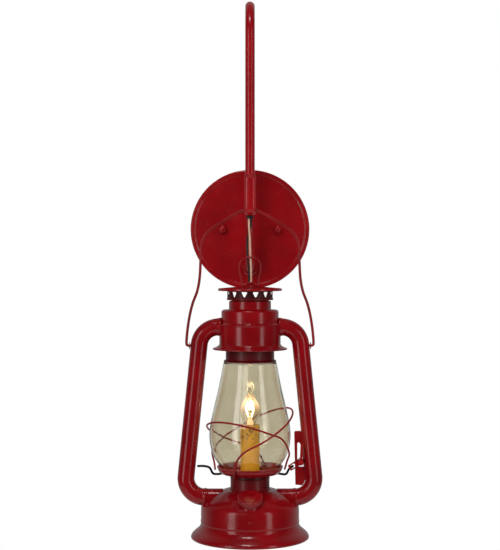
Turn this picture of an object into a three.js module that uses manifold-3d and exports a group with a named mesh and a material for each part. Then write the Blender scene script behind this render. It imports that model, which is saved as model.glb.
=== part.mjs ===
// Electrified hurricane-lantern wall light: a tubular lantern hung by its wire
// bail from the hooked end of a gooseneck arm on a round wall plate.
// Millimetres, +Z up. The origin is on the wall, behind the centre of the wall
// plate; the light faces -Y.
import * as THREE from 'three';
import { mergeVertices } from 'three/addons/utils/BufferGeometryUtils.js';
import Module from 'manifold-3d';

const wasm = await Module();
wasm.setup();

// ---------------------------------------------------------------- dimensions
const GAP = 0.3;              // clearance between pieces that touch
const SHEET = 1.2;            // wall of the pressed steel parts

// wall plate and what fastens it
const PLATE_R = 63.5;
const PLATE_DEPTH = 19;
const STUD_SPACING = 59;
const STUD_R = 2;
const STRAP_LENGTH = 96;
const STRAP_WIDTH = 20;
const STRAP_THICK = 2.4;
const BALL_R = 4.6;

// gooseneck arm
const ARM_R = 4.75;
const ARM_BORE_R = 3.6;
const ARM_ENTRY_Z = -42;      // where the arm passes through the plate
const ARM_STEM_Y = -50;
const ARM_TOP_Z = 230;
const ARM_END_Z = 51;
const ARM_FOOT_BEND = 14;
const REACH = 107;            // wall to lantern axis

// hook at the arm's end
const HOOK_BEND = 7;          // radius of the hook's centre line
const HOOK_WIDTH = 12;
const HOOK_THICK = 5.6;
const HOOK_WALL = 1.1;
const HOOK_TAIL = 14;
const OUTLET_R = 3.3;         // outlet hole for the leads
const LEAD_R = 1;

// lantern
const LANTERN_HEIGHT = 254;   // base to the top of the chimney cap
const BASE_R = 59;
const TANK_R = 49;
const TANK_WALL_TOP = 29;
const DOME_RISE = 19.4;
const NECK_R = 19.5;
const NECK_HEIGHT = 13.8;
const TUBE_R = 8.5;           // side tubes
const TUBE_DROP = 44;         // cap top down to the tubes' upper run
const TUBE_BEND = 19;
const TUBE_REACH = 18.4;      // the tube's upper corner outside the crown
const BELLY_CLEARANCE = 25.4; // the tube's lower corner outside the globe's belly
const PLATE_CLEARANCE = 33;   // and outside the globe plate
const CROWN_R = 30.6;
const COLLAR_R = 21;
const VENT_R = 22.7;
const VENT_HEIGHT = 10.3;
const VENT_COUNT = 12;        // an even number
const CAP_R = 32;
const GLOBE_TOP_R = 26.5;
const GLOBE_MAX_R = 40.6;
const GLOBE_FOOT_R = 28.8;
const GLOBE_WALL = 1.8;
const GLOBE_BELLY = 34.3;     // foot up to the widest part
const DISH_MARGIN = 4.2;      // the globe plate's rim outside the globe's foot
const CANDLE_R = 9.5;
const CANDLE_WALL = 1;
const CANDLE_LENGTH = 49;
const BULB_R = 10.5;
const BULB_HEIGHT = 38.3;
const BULB_BASE_R = 5.8;
const SOCKET_DEPTH = 26;
const BULB_WALL = 0.8;
const FILLER_R = 12;
const FILLER_TILT = 24;       // degrees, towards the front
const STEM_R = 5;             // threaded pipe under the socket

// bail
const BAIL_WIRE_R = 1.35;
const BAIL_RISE = 73.3;       // cap top up to the bail's apex
const PIVOT_CLEARANCE = 0.5;

// guard and lifting gear
const GUARD_WIRE_R = 0.95;
const GUARD_CLEARANCE = 1.9;
const LIFT_WIRE_R = 1.15;
const LEVER_ARM = 8.2;
const LEVER_HUB_R = 2.9;
const CRANK_DROP = 5;         // the wire's crank pin lies this far below the lever's pivot
const BRACKET_THICK = 1.4;
const RIVET_R = 1.3;

const BIG = 24;               // facets round a large turned piece
const SMALL = 16;             // facets round a small one
const PIPE = 12;              // facets round a tube

// heights in the lantern, up from its base
const neckFoot = TANK_WALL_TOP + DOME_RISE + 0.5;
const neckTop = neckFoot + NECK_HEIGHT;
const tubeLowZ = TANK_WALL_TOP + 11;
const dishZ = neckTop + 1.3;
const globeFoot = dishZ + SHEET + 0.5;
const leverZ = dishZ + 12;
const candleFoot = neckTop + GAP;
const candleTop = candleFoot + CANDLE_LENGTH;
const capTop = LANTERN_HEIGHT;
const tubeTopZ = capTop - TUBE_DROP;
const crownFoot = tubeTopZ - 22.4;
const crownStep = tubeTopZ + 2;
const crownRoof = tubeTopZ + 17.4;
const ventTop = capTop - 6.7;
const ventFoot = ventTop - VENT_HEIGHT;
const collarTop = ventFoot - 1;
const globeTop = crownFoot - 12.6;
const bailPivotZ = tubeTopZ - 18.5;
const bailApexZ = capTop + BAIL_RISE;

// widths that follow from one another
const dishR = GLOBE_FOOT_R + DISH_MARGIN;
const tubeTopX = CROWN_R + TUBE_REACH;
const tubeLowX = Math.max(GLOBE_MAX_R + BELLY_CLEARANCE, dishR + PLATE_CLEARANCE);
const tubeCentreX = (z) => THREE.MathUtils.mapLinear(z, tubeTopZ, tubeLowZ, tubeTopX, tubeLowX);
const leverX = tubeCentreX(leverZ) - TUBE_R - LEVER_HUB_R - 0.5;

// the lantern's base, from the bail's seat in the hook
const HOOK_SEAT_Z = 17.3;     // centre of the bail wire where it hangs
const lanternZ = HOOK_SEAT_Z - bailApexZ;

const toRadians = THREE.MathUtils.degToRad;
const toVector2 = ([x, y]) => new THREE.Vector2(x, y);

// ----------------------------------------------------------------- materials
function finish(color, roughness, metalness, opacity = 1) {
  const transparent = opacity < 1;
  return new THREE.MeshStandardMaterial({ color, roughness, metalness, opacity, transparent });
}
const redEnamel = () => finish(0x86101a, 0.3, 0.1);
const darkRed = () => finish(0x4a060c, 0.4, 0.1);
const zincSteel = () => finish(0x9a9c9e, 0.4, 0.9);
const blackSteel = () => finish(0x1a1414, 0.5, 0.6);
const brass = () => finish(0xb58d3d, 0.35, 0.9);
const clearGlass = () => finish(0xd8d2b4, 0.05, 0, 0.35);

// -------------------------------------------------------------------- solids
// A closed three.js geometry as a solid that can be cut and joined.
function solid(geometry) {
  const bare = geometry.clone();
  bare.deleteAttribute('normal');
  bare.deleteAttribute('uv');
  const merged = mergeVertices(bare, 1e-4);
  const vertProperties = new Float32Array(merged.attributes.position.array);
  const triVerts = new Uint32Array(merged.index.array);
  return new wasm.Manifold(new wasm.Mesh({ numProp: 3, vertProperties, triVerts }));
}

function toGeometry(body) {
  const mesh = body.getMesh();
  const geometry = new THREE.BufferGeometry();
  geometry.setAttribute('position', new THREE.BufferAttribute(mesh.vertProperties, 3));
  geometry.setIndex(new THREE.BufferAttribute(mesh.triVerts, 1));
  geometry.computeVertexNormals();
  return geometry;
}

// A turned piece about Z. The outline is a list of [radius, height] points that
// goes once round the section, or that starts and ends on the axis.
function turned(outline, facets = BIG) {
  const points = outline.map(toVector2);
  let area = 0;
  points.forEach((p, i) => { area += p.cross(points[(i + 1) % points.length]); });
  if (area < 0) points.reverse();
  const onAxis = points[0].x === 0 && points[points.length - 1].x === 0;
  if (!onAxis) points.push(points[0].clone());
  return solid(new THREE.LatheGeometry(points, facets).rotateX(Math.PI / 2));
}

// A round bar or hole along Z, from height low to height high.
function bar(radius, low, high, facets = SMALL) {
  const geometry = new THREE.CylinderGeometry(radius, radius, high - low, facets);
  return solid(geometry.rotateX(Math.PI / 2).translate(0, 0, (low + high) / 2));
}

function box(size, centre) {
  return solid(new THREE.BoxGeometry(...size).translate(...centre));
}

const alongX = (body) => body.rotate([0, 90, 0]);
const alongY = (body) => body.rotate([90, 0, 0]);    // +Z turns to -Y

// A flat plate cut to an outline of [x, z] points, standing in the XZ plane.
function upright(outline, thick, holes = []) {
  const shape = new THREE.Shape(outline.map(toVector2));
  shape.holes = holes.map((hole) => new THREE.Path(hole.map(toVector2)));
  const geometry = new THREE.ExtrudeGeometry(shape, { depth: thick, bevelEnabled: false });
  return solid(geometry.translate(0, 0, -thick / 2).rotateX(Math.PI / 2));
}

// A curve that is sampled only at given stations, so that straight runs take
// one step and bends take several.
class StationPath extends THREE.Curve {
  constructor(stations) {
    super();
    this.stations = stations;
  }
  station(u) {
    return this.stations[Math.round(u * (this.stations.length - 1))];
  }
  getPointAt(u) {
    return this.station(u).point.clone();
  }
  getTangentAt(u) {
    return this.station(u).tangent.clone();
  }
}

// Straight runs between corners, each corner rounded to its own radius.
function bentPath(corners, radii, stepsPerBend = 7) {
  const points = corners.map((c) => new THREE.Vector3(...c));
  const last = points.length - 1;
  const stations = [];
  const heading = (i) => points[i + 1].clone().sub(points[i]).normalize();
  stations.push({ point: points[0], tangent: heading(0) });
  for (let i = 1; i < last; i++) {
    const before = heading(i - 1);
    const after = heading(i);
    const angle = before.angleTo(after);
    const radius = radii[i - 1];
    const start = points[i].clone().addScaledVector(before, -radius * Math.tan(angle / 2));
    const side = after.clone().addScaledVector(before, -after.dot(before)).normalize();
    for (let k = 0; k <= stepsPerBend; k++) {
      const turn = (angle * k) / stepsPerBend;
      const point = start.clone().addScaledVector(before, radius * Math.sin(turn));
      point.addScaledVector(side, radius * (1 - Math.cos(turn)));
      const tangent = before.clone().multiplyScalar(Math.cos(turn)).addScaledVector(side, Math.sin(turn));
      stations.push({ point, tangent });
    }
  }
  stations.push({ point: points[last], tangent: heading(last - 1) });
  return new StationPath(stations);
}

// A free curve through points, in equal steps.
function smoothPath(points, steps) {
  const knots = points.map((p) => new THREE.Vector3(...p));
  const curve = new THREE.CatmullRomCurve3(knots, false, 'centripetal');
  const stations = [];
  for (let i = 0; i <= steps; i++) {
    stations.push({ point: curve.getPointAt(i / steps), tangent: curve.getTangentAt(i / steps) });
  }
  return new StationPath(stations);
}

function ring(rx, ry, facets) {
  const points = [];
  for (let i = 0; i < facets; i++) {
    const angle = (2 * Math.PI * (i + 0.5)) / facets;
    points.push(new THREE.Vector2(rx * Math.cos(angle), ry * Math.sin(angle)));
  }
  return points;
}

// A bar of the given section swept along a path, hollow if it has a bore.
function swept(path, outer, bore = null) {
  const shape = new THREE.Shape(outer);
  if (bore) shape.holes.push(new THREE.Path(bore));
  return solid(new THREE.ExtrudeGeometry(shape, { extrudePath: path, steps: path.stations.length - 1 }));
}

const wire = (path, radius, facets = 8) => swept(path, ring(radius, radius, facets));

// The mirror image of half a wire in the XZ plane, joined to it at the middle.
function bothHalves(half, middle, y) {
  const right = half.map(([x, z]) => [x, y, z]);
  const left = half.map(([x, z]) => [-x, y, z]).reverse();
  return [...right, [0, y, middle], ...left];
}

// A hexagon nut or a washer about Z.
function nut(acrossFlats, hole, low, high, facets = 6) {
  const corner = acrossFlats / 2 / Math.cos(Math.PI / facets);
  return bar(corner, low, high, facets).subtract(bar(hole, low - 1, high + 1));
}

// ------------------------------------------------------------------ assembly
const lamp = new THREE.Group();
const lantern = new THREE.Group();
lantern.position.set(0, -REACH, lanternZ);
lamp.add(lantern);

function add(parent, name, body, material, at = [0, 0, 0]) {
  const mesh = new THREE.Mesh(toGeometry(body), material);
  mesh.name = name;
  mesh.position.set(...at);
  parent.add(mesh);
}

// ------------------------------------------------------- wall plate and strap
const plateFace = PLATE_DEPTH;              // measured out from the wall, along -Y
const studX = STUD_SPACING / 2;
const armHoleR = ARM_R + PIVOT_CLEARANCE;

function wallPlate() {
  const r = PLATE_R;
  const shell = turned([
    [r, 0], [r, plateFace - 3.4], [r - 0.9, plateFace - 1.1], [r - 2.6, plateFace],
    [r - 4, plateFace - 1], [0, plateFace - 1], [0, plateFace - 1 - SHEET],
    [r - 4.6, plateFace - 1 - SHEET], [r - 2.6, plateFace - 3], [r - SHEET, plateFace - 4.6],
    [r - SHEET, 0],
  ].reverse(), 36);
  const studHole = bar(STUD_R + GAP, 0, plateFace + 1, 12);
  const cuts = bar(armHoleR, 0, plateFace + 1).translate([0, ARM_ENTRY_Z, 0])
    .add(studHole.translate([studX, 0, 0])).add(studHole.translate([-studX, 0, 0]));
  return alongY(shell.subtract(cuts));
}

const groundScrewAt = [16, 0, -4.4];
function mountingStrap() {
  const slot = (x) => box([9, 10, 4.4], [x, 0, 0]);
  const blank = box([STRAP_LENGTH, STRAP_THICK, STRAP_WIDTH], [0, -STRAP_THICK / 2, 0]);
  const studHole = alongY(bar(STUD_R + GAP, -2, STRAP_THICK + 2, 12));
  return blank.subtract(slot(STRAP_LENGTH / 2 - 9)).subtract(slot(9 - STRAP_LENGTH / 2))
    .subtract(studHole.translate([studX, 0, 0])).subtract(studHole.translate([-studX, 0, 0]))
    .subtract(studHole.translate(groundScrewAt));
}

const studEnd = plateFace + 3.6;
const plateStud = () => alongY(bar(STUD_R, 0.4, studEnd, 12));

function ballNut() {
  const neck = plateFace - 1 + GAP;
  const centre = neck + BALL_R * 0.9;
  const outline = [[0, neck], [BALL_R * 0.62, neck]];
  const arcs = 5;
  const start = -Math.PI / 3.4;
  for (let i = 0; i < arcs; i++) {
    const angle = start + (i / arcs) * (Math.PI / 2 - start);
    outline.push([BALL_R * Math.cos(angle), centre + BALL_R * Math.sin(angle)]);
  }
  outline.push([0, centre + BALL_R]);
  return alongY(turned(outline, SMALL).subtract(bar(STUD_R + GAP, 0, studEnd + GAP, 8)));
}

function groundScrew() {
  const under = STRAP_THICK + GAP;
  const head = turned([[0, 0], [0, 2], [2.6, 2], [3.4, 1], [3.4, 0]], 12).translate([0, 0, under]);
  return alongY(head.add(bar(STUD_R - GAP, 0.2, under + 0.5, 12)));
}

add(lamp, 'mounting_strap', mountingStrap(), zincSteel());
add(lamp, 'wall_plate', wallPlate(), redEnamel());
for (const [side, sign] of [['left', -1], ['right', 1]]) {
  add(lamp, `plate_stud_${side}`, plateStud(), zincSteel(), [sign * studX, 0, 0]);
  add(lamp, `ball_nut_${side}`, ballNut(), redEnamel(), [sign * studX, 0, 0]);
}
add(lamp, 'ground_screw', groundScrew(), finish(0x2f7d45, 0.45, 0.5), groundScrewAt);

// ------------------------------------------------------------ gooseneck arm
const legY = -REACH - HOOK_BEND;
const archR = (ARM_STEM_Y - legY) / 2;

function armTube() {
  const crest = ARM_TOP_Z - ARM_R;
  const path = bentPath(
    [[0, -6, ARM_ENTRY_Z], [0, ARM_STEM_Y, ARM_ENTRY_Z], [0, ARM_STEM_Y, crest], [0, legY, crest],
      [0, legY, ARM_END_Z]],
    [ARM_FOOT_BEND, archR, archR - 0.01],
    6,
  );
  return swept(path, ring(ARM_R, ARM_R, PIPE), ring(ARM_BORE_R, ARM_BORE_R, PIPE));
}

// The hook: a flattened tube that drops in front of the bail, turns under it
// and rises behind it.
const seatTop = HOOK_SEAT_Z - BAIL_WIRE_R - GAP;      // inside of the bend
const hookCentreZ = seatTop - HOOK_THICK / 2 + HOOK_BEND;
const hookLowZ = hookCentreZ - HOOK_BEND - HOOK_THICK / 2;

function bailHook() {
  const tailY = -REACH + HOOK_BEND;
  const lowZ = hookCentreZ - HOOK_BEND;
  const path = bentPath(
    [[0, legY, ARM_END_Z - GAP], [0, legY, lowZ], [0, tailY, lowZ], [0, tailY, hookCentreZ + HOOK_TAIL]],
    [HOOK_BEND - 0.01, HOOK_BEND - 0.01],
    6,
  );
  const halfWidth = HOOK_WIDTH / 2;
  const halfThick = HOOK_THICK / 2;
  const bore = ring(halfThick - HOOK_WALL, halfWidth - HOOK_WALL, PIPE);
  const outlet = bar(OUTLET_R, hookLowZ - 2, lowZ, PIPE).translate([0, -REACH, 0]);
  return swept(path, ring(halfThick, halfWidth, PIPE), bore).subtract(outlet);
}

const bushingFlange = hookLowZ - GAP;
function hookBushing() {
  const sleeve = OUTLET_R - GAP;
  return turned([
    [2.4, bushingFlange - 1.2], [4, bushingFlange - 1], [4.2, bushingFlange], [sleeve, bushingFlange],
    [sleeve, bushingFlange + 1.4], [2.4, bushingFlange + 1.4],
  ], 16);
}

const face = plateFace - 1;
function armCollar() {
  const inner = ARM_R + GAP;
  return alongY(turned([
    [inner, face + GAP], [8, face + GAP], [8, face + 3], [7, face + 4.4], [inner, face + 4.4],
  ], SMALL));
}
const backFace = face - SHEET - GAP;
const lockWasher = () => alongY(nut(15, ARM_R + GAP, backFace - 1, backFace, 16));
const lockNut = () => alongY(nut(14, ARM_R + GAP, backFace - 5.3, backFace - 1 - GAP));

add(lamp, 'arm_tube', armTube(), redEnamel());
add(lamp, 'arm_collar', armCollar(), darkRed(), [0, 0, ARM_ENTRY_Z]);
add(lamp, 'arm_lock_washer', lockWasher(), zincSteel(), [0, 0, ARM_ENTRY_Z]);
add(lamp, 'arm_lock_nut', lockNut(), brass(), [0, 0, ARM_ENTRY_Z]);
add(lamp, 'bail_hook', bailHook(), redEnamel());
add(lamp, 'hook_bushing', hookBushing(), finish(0x0c0b0b, 0.6, 0), [0, -REACH, 0]);

// --------------------------------------------------------------- tank and neck
// The top of the tank's dome, from the shoulder up to the neck.
const dome = [
  [TANK_R, TANK_WALL_TOP], [TANK_R - 1.3, TANK_WALL_TOP + 4.6], [TANK_R - 6, TANK_WALL_TOP + 9.6],
  [TANK_R - 13, TANK_WALL_TOP + 14.3], [TANK_R - 21, TANK_WALL_TOP + 17.8], [NECK_R, neckFoot - 0.5],
  [NECK_R - 3, neckFoot - 0.5],
];
const flare = [
  [BASE_R - 0.6, 0], [BASE_R, 1.4], [BASE_R - 1, 3.6], [BASE_R - 4, 6.8], [TANK_R + 2, 10.4], [TANK_R, 14],
];

// What stands on the dome is cut by this envelope, a gap outside it.
const domeOffset = [
  ...dome.map(([r, z]) => [r + GAP, z + GAP]), [0, neckFoot], [0, -2], [TANK_R + GAP, -2],
];

const insideOf = (outline, wall) => outline.map(([r, z]) => [r - wall, z - wall * 0.9]).reverse();

function tankShell() {
  const inner = insideOf([...flare.slice(2), ...dome.slice(0, 5)], SHEET);
  return turned([...flare, ...dome, [NECK_R - 3, neckFoot - 0.5 - SHEET], ...inner, [BASE_R - 1.8, 0]]);
}

function tankBottom() {
  const r = BASE_R - 1.8 - 2 * GAP;
  return turned([
    [0, 2.4], [r - 6, 2.4], [r - 4, 1], [r, 0.8], [r, 0.8 + SHEET], [r - 3.4, 1 + SHEET],
    [r - 5.6, 2.4 + SHEET], [0, 2.4 + SHEET],
  ].reverse());
}

const neckDeck = neckTop - SHEET;
function burnerNeck() {
  return turned([
    [NECK_R - SHEET, neckFoot], [NECK_R, neckFoot], [NECK_R, neckTop - 1], [NECK_R - 0.8, neckTop],
    [STEM_R + GAP, neckTop], [STEM_R + GAP, neckDeck], [NECK_R - SHEET, neckDeck],
  ], BIG);
}

// -------------------------------------------------------------- candle and bulb
const socketR = CANDLE_R - CANDLE_WALL - GAP;
const socketTop = candleTop - 1.5;
const wellFloor = socketTop - SOCKET_DEPTH;
const socketFoot = wellFloor - 8;

function candleSleeve() {
  const inner = CANDLE_R - CANDLE_WALL;
  return turned([
    [inner, candleFoot], [CANDLE_R, candleFoot], [CANDLE_R, candleTop - 1],
    [CANDLE_R - 0.5, candleTop], [inner, candleTop],
  ], SMALL);
}

function lampSocket() {
  const wellR = BULB_BASE_R + 2 * GAP;
  return turned([
    [0, socketFoot], [socketR, socketFoot], [socketR, socketTop], [wellR, socketTop], [wellR, wellFloor],
    [0, wellFloor],
  ].reverse(), SMALL);
}

function socketStem() {
  const low = neckDeck - 8;
  return bar(STEM_R, low, socketFoot - GAP).subtract(bar(STEM_R - SHEET, low - 1, socketFoot + 1));
}
const stemNut = () => nut(3 * STEM_R, STEM_R + GAP, neckDeck - 4 - GAP, neckDeck - GAP);

const bulbFoot = wellFloor + 2;
const bulbNeck = socketTop + 1.2;
function bulbBase() {
  const r = BULB_BASE_R;
  return turned([
    [0, bulbFoot], [2.2, bulbFoot], [r, bulbFoot + 3.4], [r, bulbNeck], [0, bulbNeck],
  ].reverse(), SMALL);
}

// Flame-tip envelope: a round belly drawn up to a thin tip, blown hollow and
// open at its neck. Each point is [radius, share of the height].
const bulbOutline = [
  [BULB_BASE_R - 0.8, 0.008], [BULB_BASE_R - 0.2, 0.065], [BULB_R - 2.1, 0.183], [BULB_R, 0.339],
  [BULB_R - 1.2, 0.496], [BULB_R - 4.6, 0.679], [BULB_R - 7.6, 0.836], [BULB_R - 9.1, 0.961],
].map(([r, share]) => [r, bulbNeck + share * BULB_HEIGHT]);
function bulbGlass() {
  const tip = bulbNeck + BULB_HEIGHT;
  const inner = bulbOutline.slice(0, -1).map(([r, z]) => [r - BULB_WALL, z]).reverse();
  return turned([...bulbOutline, [0, tip], [0, tip - 4.5], ...inner], SMALL);
}

function bulbFilament() {
  const low = bulbNeck + GAP;
  const mast = bar(1, low, low + 11, 8);
  const loop = wire(smoothPath([
    [0, 0, low + 9], [-1.6, 0, low + 11], [-3, 0, low + 15], [-1.6, 0, low + 18], [0, 0, low + 15.6],
    [1.6, 0, low + 18], [3, 0, low + 15], [1.6, 0, low + 11], [0, 0, low + 9],
  ], 20), 0.3, 5);
  return mast.add(loop);
}

add(lantern, 'tank_shell', tankShell(), redEnamel());
add(lantern, 'tank_bottom', tankBottom(), darkRed());
add(lantern, 'burner_neck', burnerNeck(), darkRed());
add(lantern, 'candle_sleeve', candleSleeve(), finish(0xb88c20, 0.5, 0));
add(lantern, 'lamp_socket', lampSocket(), finish(0x15120f, 0.55, 0));
add(lantern, 'socket_stem', socketStem(), zincSteel());
add(lantern, 'stem_nut', stemNut(), brass());
add(lantern, 'bulb_base', bulbBase(), brass());
add(lantern, 'bulb_glass', bulbGlass(), clearGlass());
add(lantern, 'bulb_filament', bulbFilament(), finish(0xffe2a0, 0.4, 0.2));

// ---------------------------------------------------------- filler on the dome
const fillerY = -(TANK_R - 11.5);
const fillerZ = TANK_WALL_TOP + 9;
const onDome = (body) => body.rotate([FILLER_TILT, 0, 0]).translate([0, fillerY, fillerZ]);

const fillerBoreR = FILLER_R - 3.6;
const fillerNeckR = FILLER_R - 2.4;
const fillerNeckTop = 7.4;
function fillerNeck() {
  const pipe = bar(fillerNeckR, -6, fillerNeckTop).subtract(bar(fillerBoreR, -7, fillerNeckTop + 1));
  return onDome(pipe).subtract(turned(domeOffset));
}
const fillerGasket = () => onDome(turned([
  [fillerBoreR, fillerNeckTop + GAP], [fillerNeckR, fillerNeckTop + GAP],
  [fillerNeckR, fillerNeckTop + 1.3], [fillerBoreR, fillerNeckTop + 1.3],
], SMALL));
function fillerCap() {
  const roof = fillerNeckTop + 1.3 + GAP;
  const inner = fillerNeckR + 0.5;
  return onDome(turned([
    [inner, 5.6], [FILLER_R - 0.3, 5.6], [FILLER_R, 6.2], [FILLER_R, roof + 0.8],
    [FILLER_R - 1, roof + 1.8], [4, roof + 2.2], [0, roof + 2.2], [0, roof], [inner, roof],
  ].reverse(), 24));
}
const tankScrew = () => alongY(turned([
  [0, 0], [2, 0], [2, 0.9], [1.2, 1.5], [0, 1.6],
].reverse(), 12)).translate([0, -TANK_R - GAP, 24]);

add(lantern, 'filler_neck', fillerNeck(), redEnamel());
add(lantern, 'filler_gasket', fillerGasket(), finish(0x141414, 0.8, 0));
add(lantern, 'filler_cap', fillerCap(), redEnamel());
add(lantern, 'tank_screw', tankScrew(), redEnamel());

// ------------------------------------------------------------ crown and tubes
function crown() {
  const r = CROWN_R;
  const roof = crownRoof;
  const foot = crownFoot;
  const inner = r - SHEET;
  const shell = turned([
    [COLLAR_R, collarTop], [COLLAR_R, roof], [r - 3, roof - 0.9], [r - 2, roof - 2.4],
    [r - 2, crownStep + 2], [r, crownStep], [r, foot + 5.4], [r + 2.4, foot + 3.2], [r + 5.8, foot + 2],
    [r + 6.6, foot + 0.8], [r + 5.8, foot], [r + 1.2, foot + 1.4], [inner, foot + 4],
    [inner, crownStep - 0.8], [inner - 2, crownStep + 1], [inner - 2, roof - 2.6],
    [COLLAR_R - SHEET, roof - 1.2], [COLLAR_R - SHEET, collarTop],
  ].reverse());
  const port = alongX(bar(TUBE_R - SHEET, -r - 4, r + 4, 16)).translate([0, 0, tubeTopZ]);
  return shell.subtract(port);
}

// Corners of the right tube's centre line. It leaves the crown level, turns
// down, leans outwards on the way and turns in again to the tank's dome.
const tubeCorners = [
  [CROWN_R - 4, 0, tubeTopZ], [tubeTopX, 0, tubeTopZ], [tubeLowX, 0, tubeLowZ],
  [TANK_R - 22, 0, tubeLowZ],
];
const pivotX = tubeCentreX(bailPivotZ);
const pinHoleR = BAIL_WIRE_R + PIVOT_CLEARANCE;

function sideTube(sign) {
  const path = bentPath(tubeCorners.map(([x, y, z]) => [sign * x, y, z]), [TUBE_BEND, TUBE_BEND], 6);
  const tube = swept(path, ring(TUBE_R, TUBE_R, PIPE), ring(TUBE_R - SHEET, TUBE_R - SHEET, PIPE));
  const crownCut = bar(CROWN_R + GAP, tubeTopZ - TUBE_R - 4, tubeTopZ + TUBE_R + 4, BIG);
  const outerWall = alongX(bar(pinHoleR, 0, TUBE_R + 2, 12));
  const pinHole = sign > 0 ? outerWall : outerWall.mirror([1, 0, 0]);
  return tube.subtract(crownCut).subtract(turned(domeOffset))
    .subtract(pinHole.translate([sign * pivotX, 0, bailPivotZ]));
}

const EAR_THICK = 0.9;
const earX = pivotX + TUBE_R + 0.7;
const bailEar = () => alongX(bar(3.4, 0, EAR_THICK, 16).subtract(bar(pinHoleR, -1, 2, 12)));

add(lantern, 'crown', crown(), redEnamel());
add(lantern, 'side_tube_left', sideTube(-1), redEnamel());
add(lantern, 'side_tube_right', sideTube(1), redEnamel());
add(lantern, 'bail_ear_left', bailEar(), redEnamel(), [-earX - EAR_THICK, 0, bailPivotZ]);
add(lantern, 'bail_ear_right', bailEar(), redEnamel(), [earX, 0, bailPivotZ]);

// ------------------------------------------------------------------------ bail
// The foot is a level pin through the tube's outer wall and the ear.
const bailFootX = earX + EAR_THICK + BAIL_WIRE_R + 1.1;
const bailFoot = [[-7.5, 0], [-4.5, 0], [-1.8, 0], [-0.3, 0.7], [0.1, 2.6]];

// Half of the bail's shoulder and top: [distance in from the foot, share of the
// height from the pivot to the apex].
const bailSide = [
  [0, 0.044], [1.2, 0.133], [3.4, 0.232], [6.2, 0.313], [10.6, 0.401], [12.9, 0.49], [13.9, 0.608],
  [14.3, 0.711], [16, 0.777], [20.4, 0.832], [32, 0.895], [54, 0.987],
];

function bail() {
  const rise = bailApexZ - bailPivotZ;
  const foot = bailFoot.map(([x, z]) => [bailFootX + x, bailPivotZ + z]);
  const side = bailSide.map(([x, share]) => [bailFootX - x, bailPivotZ + share * rise]);
  return wire(smoothPath(bothHalves([...foot, ...side], bailApexZ, 0), 76), BAIL_WIRE_R, 6);
}
add(lantern, 'bail', bail(), redEnamel());

// ------------------------------------------------------------- globe and guard
// Outside of the globe, each point as [share of the width, share of the
// height]: from the foot out to the belly, then from the belly in to the top.
const toBelly = [[0, 0], [0.17, 0.184], [0.593, 0.417], [0.864, 0.665], [1, 1]];
const toTop = [[0.064, 0.173], [0.326, 0.4], [0.66, 0.667], [1, 1]];
const { lerp } = THREE.MathUtils;
const bellyZ = globeFoot + GLOBE_BELLY;
const globeOutline = [
  ...toBelly.map(([w, h]) => [lerp(GLOBE_FOOT_R, GLOBE_MAX_R, w), lerp(globeFoot, bellyZ, h)]),
  ...toTop.map(([w, h]) => [lerp(GLOBE_MAX_R, GLOBE_TOP_R, w), lerp(bellyZ, globeTop, h)]),
];

function globeRadius(z) {
  const index = Math.max(1, globeOutline.findIndex(([, height]) => height >= z));
  const [r0, z0] = globeOutline[index - 1];
  const [r1, z1] = globeOutline[index];
  return THREE.MathUtils.mapLinear(z, z0, z1, r0, r1);
}

function globe() {
  const inner = globeOutline.map(([r, z]) => [r - GLOBE_WALL, z]).reverse();
  return turned([...globeOutline, ...inner]);
}

function globePlate() {
  const hole = CANDLE_R + 4.5;
  const floor = dishZ;
  return turned([
    [hole, floor], [dishR - 3, floor], [dishR - 1.2, floor + 2], [dishR, floor + 7],
    [dishR - 1, floor + 7.2], [dishR - 2.4, floor + 2.8], [dishR - 3.6, floor + SHEET],
    [hole, floor + SHEET],
  ]);
}

// A guard hoop runs round the globe in a tilted plane. Its height above the
// plate is middle + leanX cos(angle) + leanY sin(angle). Both ends drop beside
// the globe, through points given as [degrees, extra clearance, height above
// the plate], and the far end hooks under the plate's rim, through points given
// as [degrees, distance in from the rim, height].
function guardHoop({ middle, leanX, leanY, from, to, startDrop, endDrop, hooked, lift }) {
  const radius = (z) => {
    const widest = Math.max(globeRadius(z - GUARD_WIRE_R), globeRadius(z + GUARD_WIRE_R));
    return Math.max(widest + GUARD_WIRE_R + GUARD_CLEARANCE, dishR + GUARD_WIRE_R + GAP);
  };
  const beside = ([degrees, extra, z]) => place([degrees, radius(dishZ + z) + extra, z]);
  const place = ([degrees, r, z]) => {
    const angle = toRadians(degrees);
    return [r * Math.cos(angle), r * Math.sin(angle), dishZ + z];
  };
  const height = (degrees) => {
    const angle = toRadians(degrees);
    return middle + leanX * Math.cos(angle) + leanY * Math.sin(angle);
  };
  const points = startDrop.map(beside);
  const steps = 12;
  for (let i = 0; i <= steps; i++) {
    const degrees = from + ((to - from) * i) / steps;
    const z = height(degrees);
    points.push(place([degrees, radius(dishZ + z) + lift, z]));
  }
  points.push(...endDrop.map(beside));
  points.push(...hooked.map(([degrees, inset, z]) => place([degrees, dishR - inset, z])));
  return wire(smoothPath(points, 46), GUARD_WIRE_R, 6);
}

const underDish = -GUARD_WIRE_R - GAP;
// High on the left and in front; its ends drop to the plate at the right and behind.
const hoopLow = {
  middle: 35.6, leanX: -11.4, leanY: -14.9, from: -45, to: -264, lift: GAP,
  startDrop: [[2, 0.6, 4], [-4, 0.2, 12], [-20, 0, 22]],
  endDrop: [[-286, 0.3, 13], [-294, 0.6, 6]],
  hooked: [[-297, -0.4, 0.4], [-298, 1.6, underDish - 0.1], [-299, 3.2, underDish - 0.3]],
};
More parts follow.
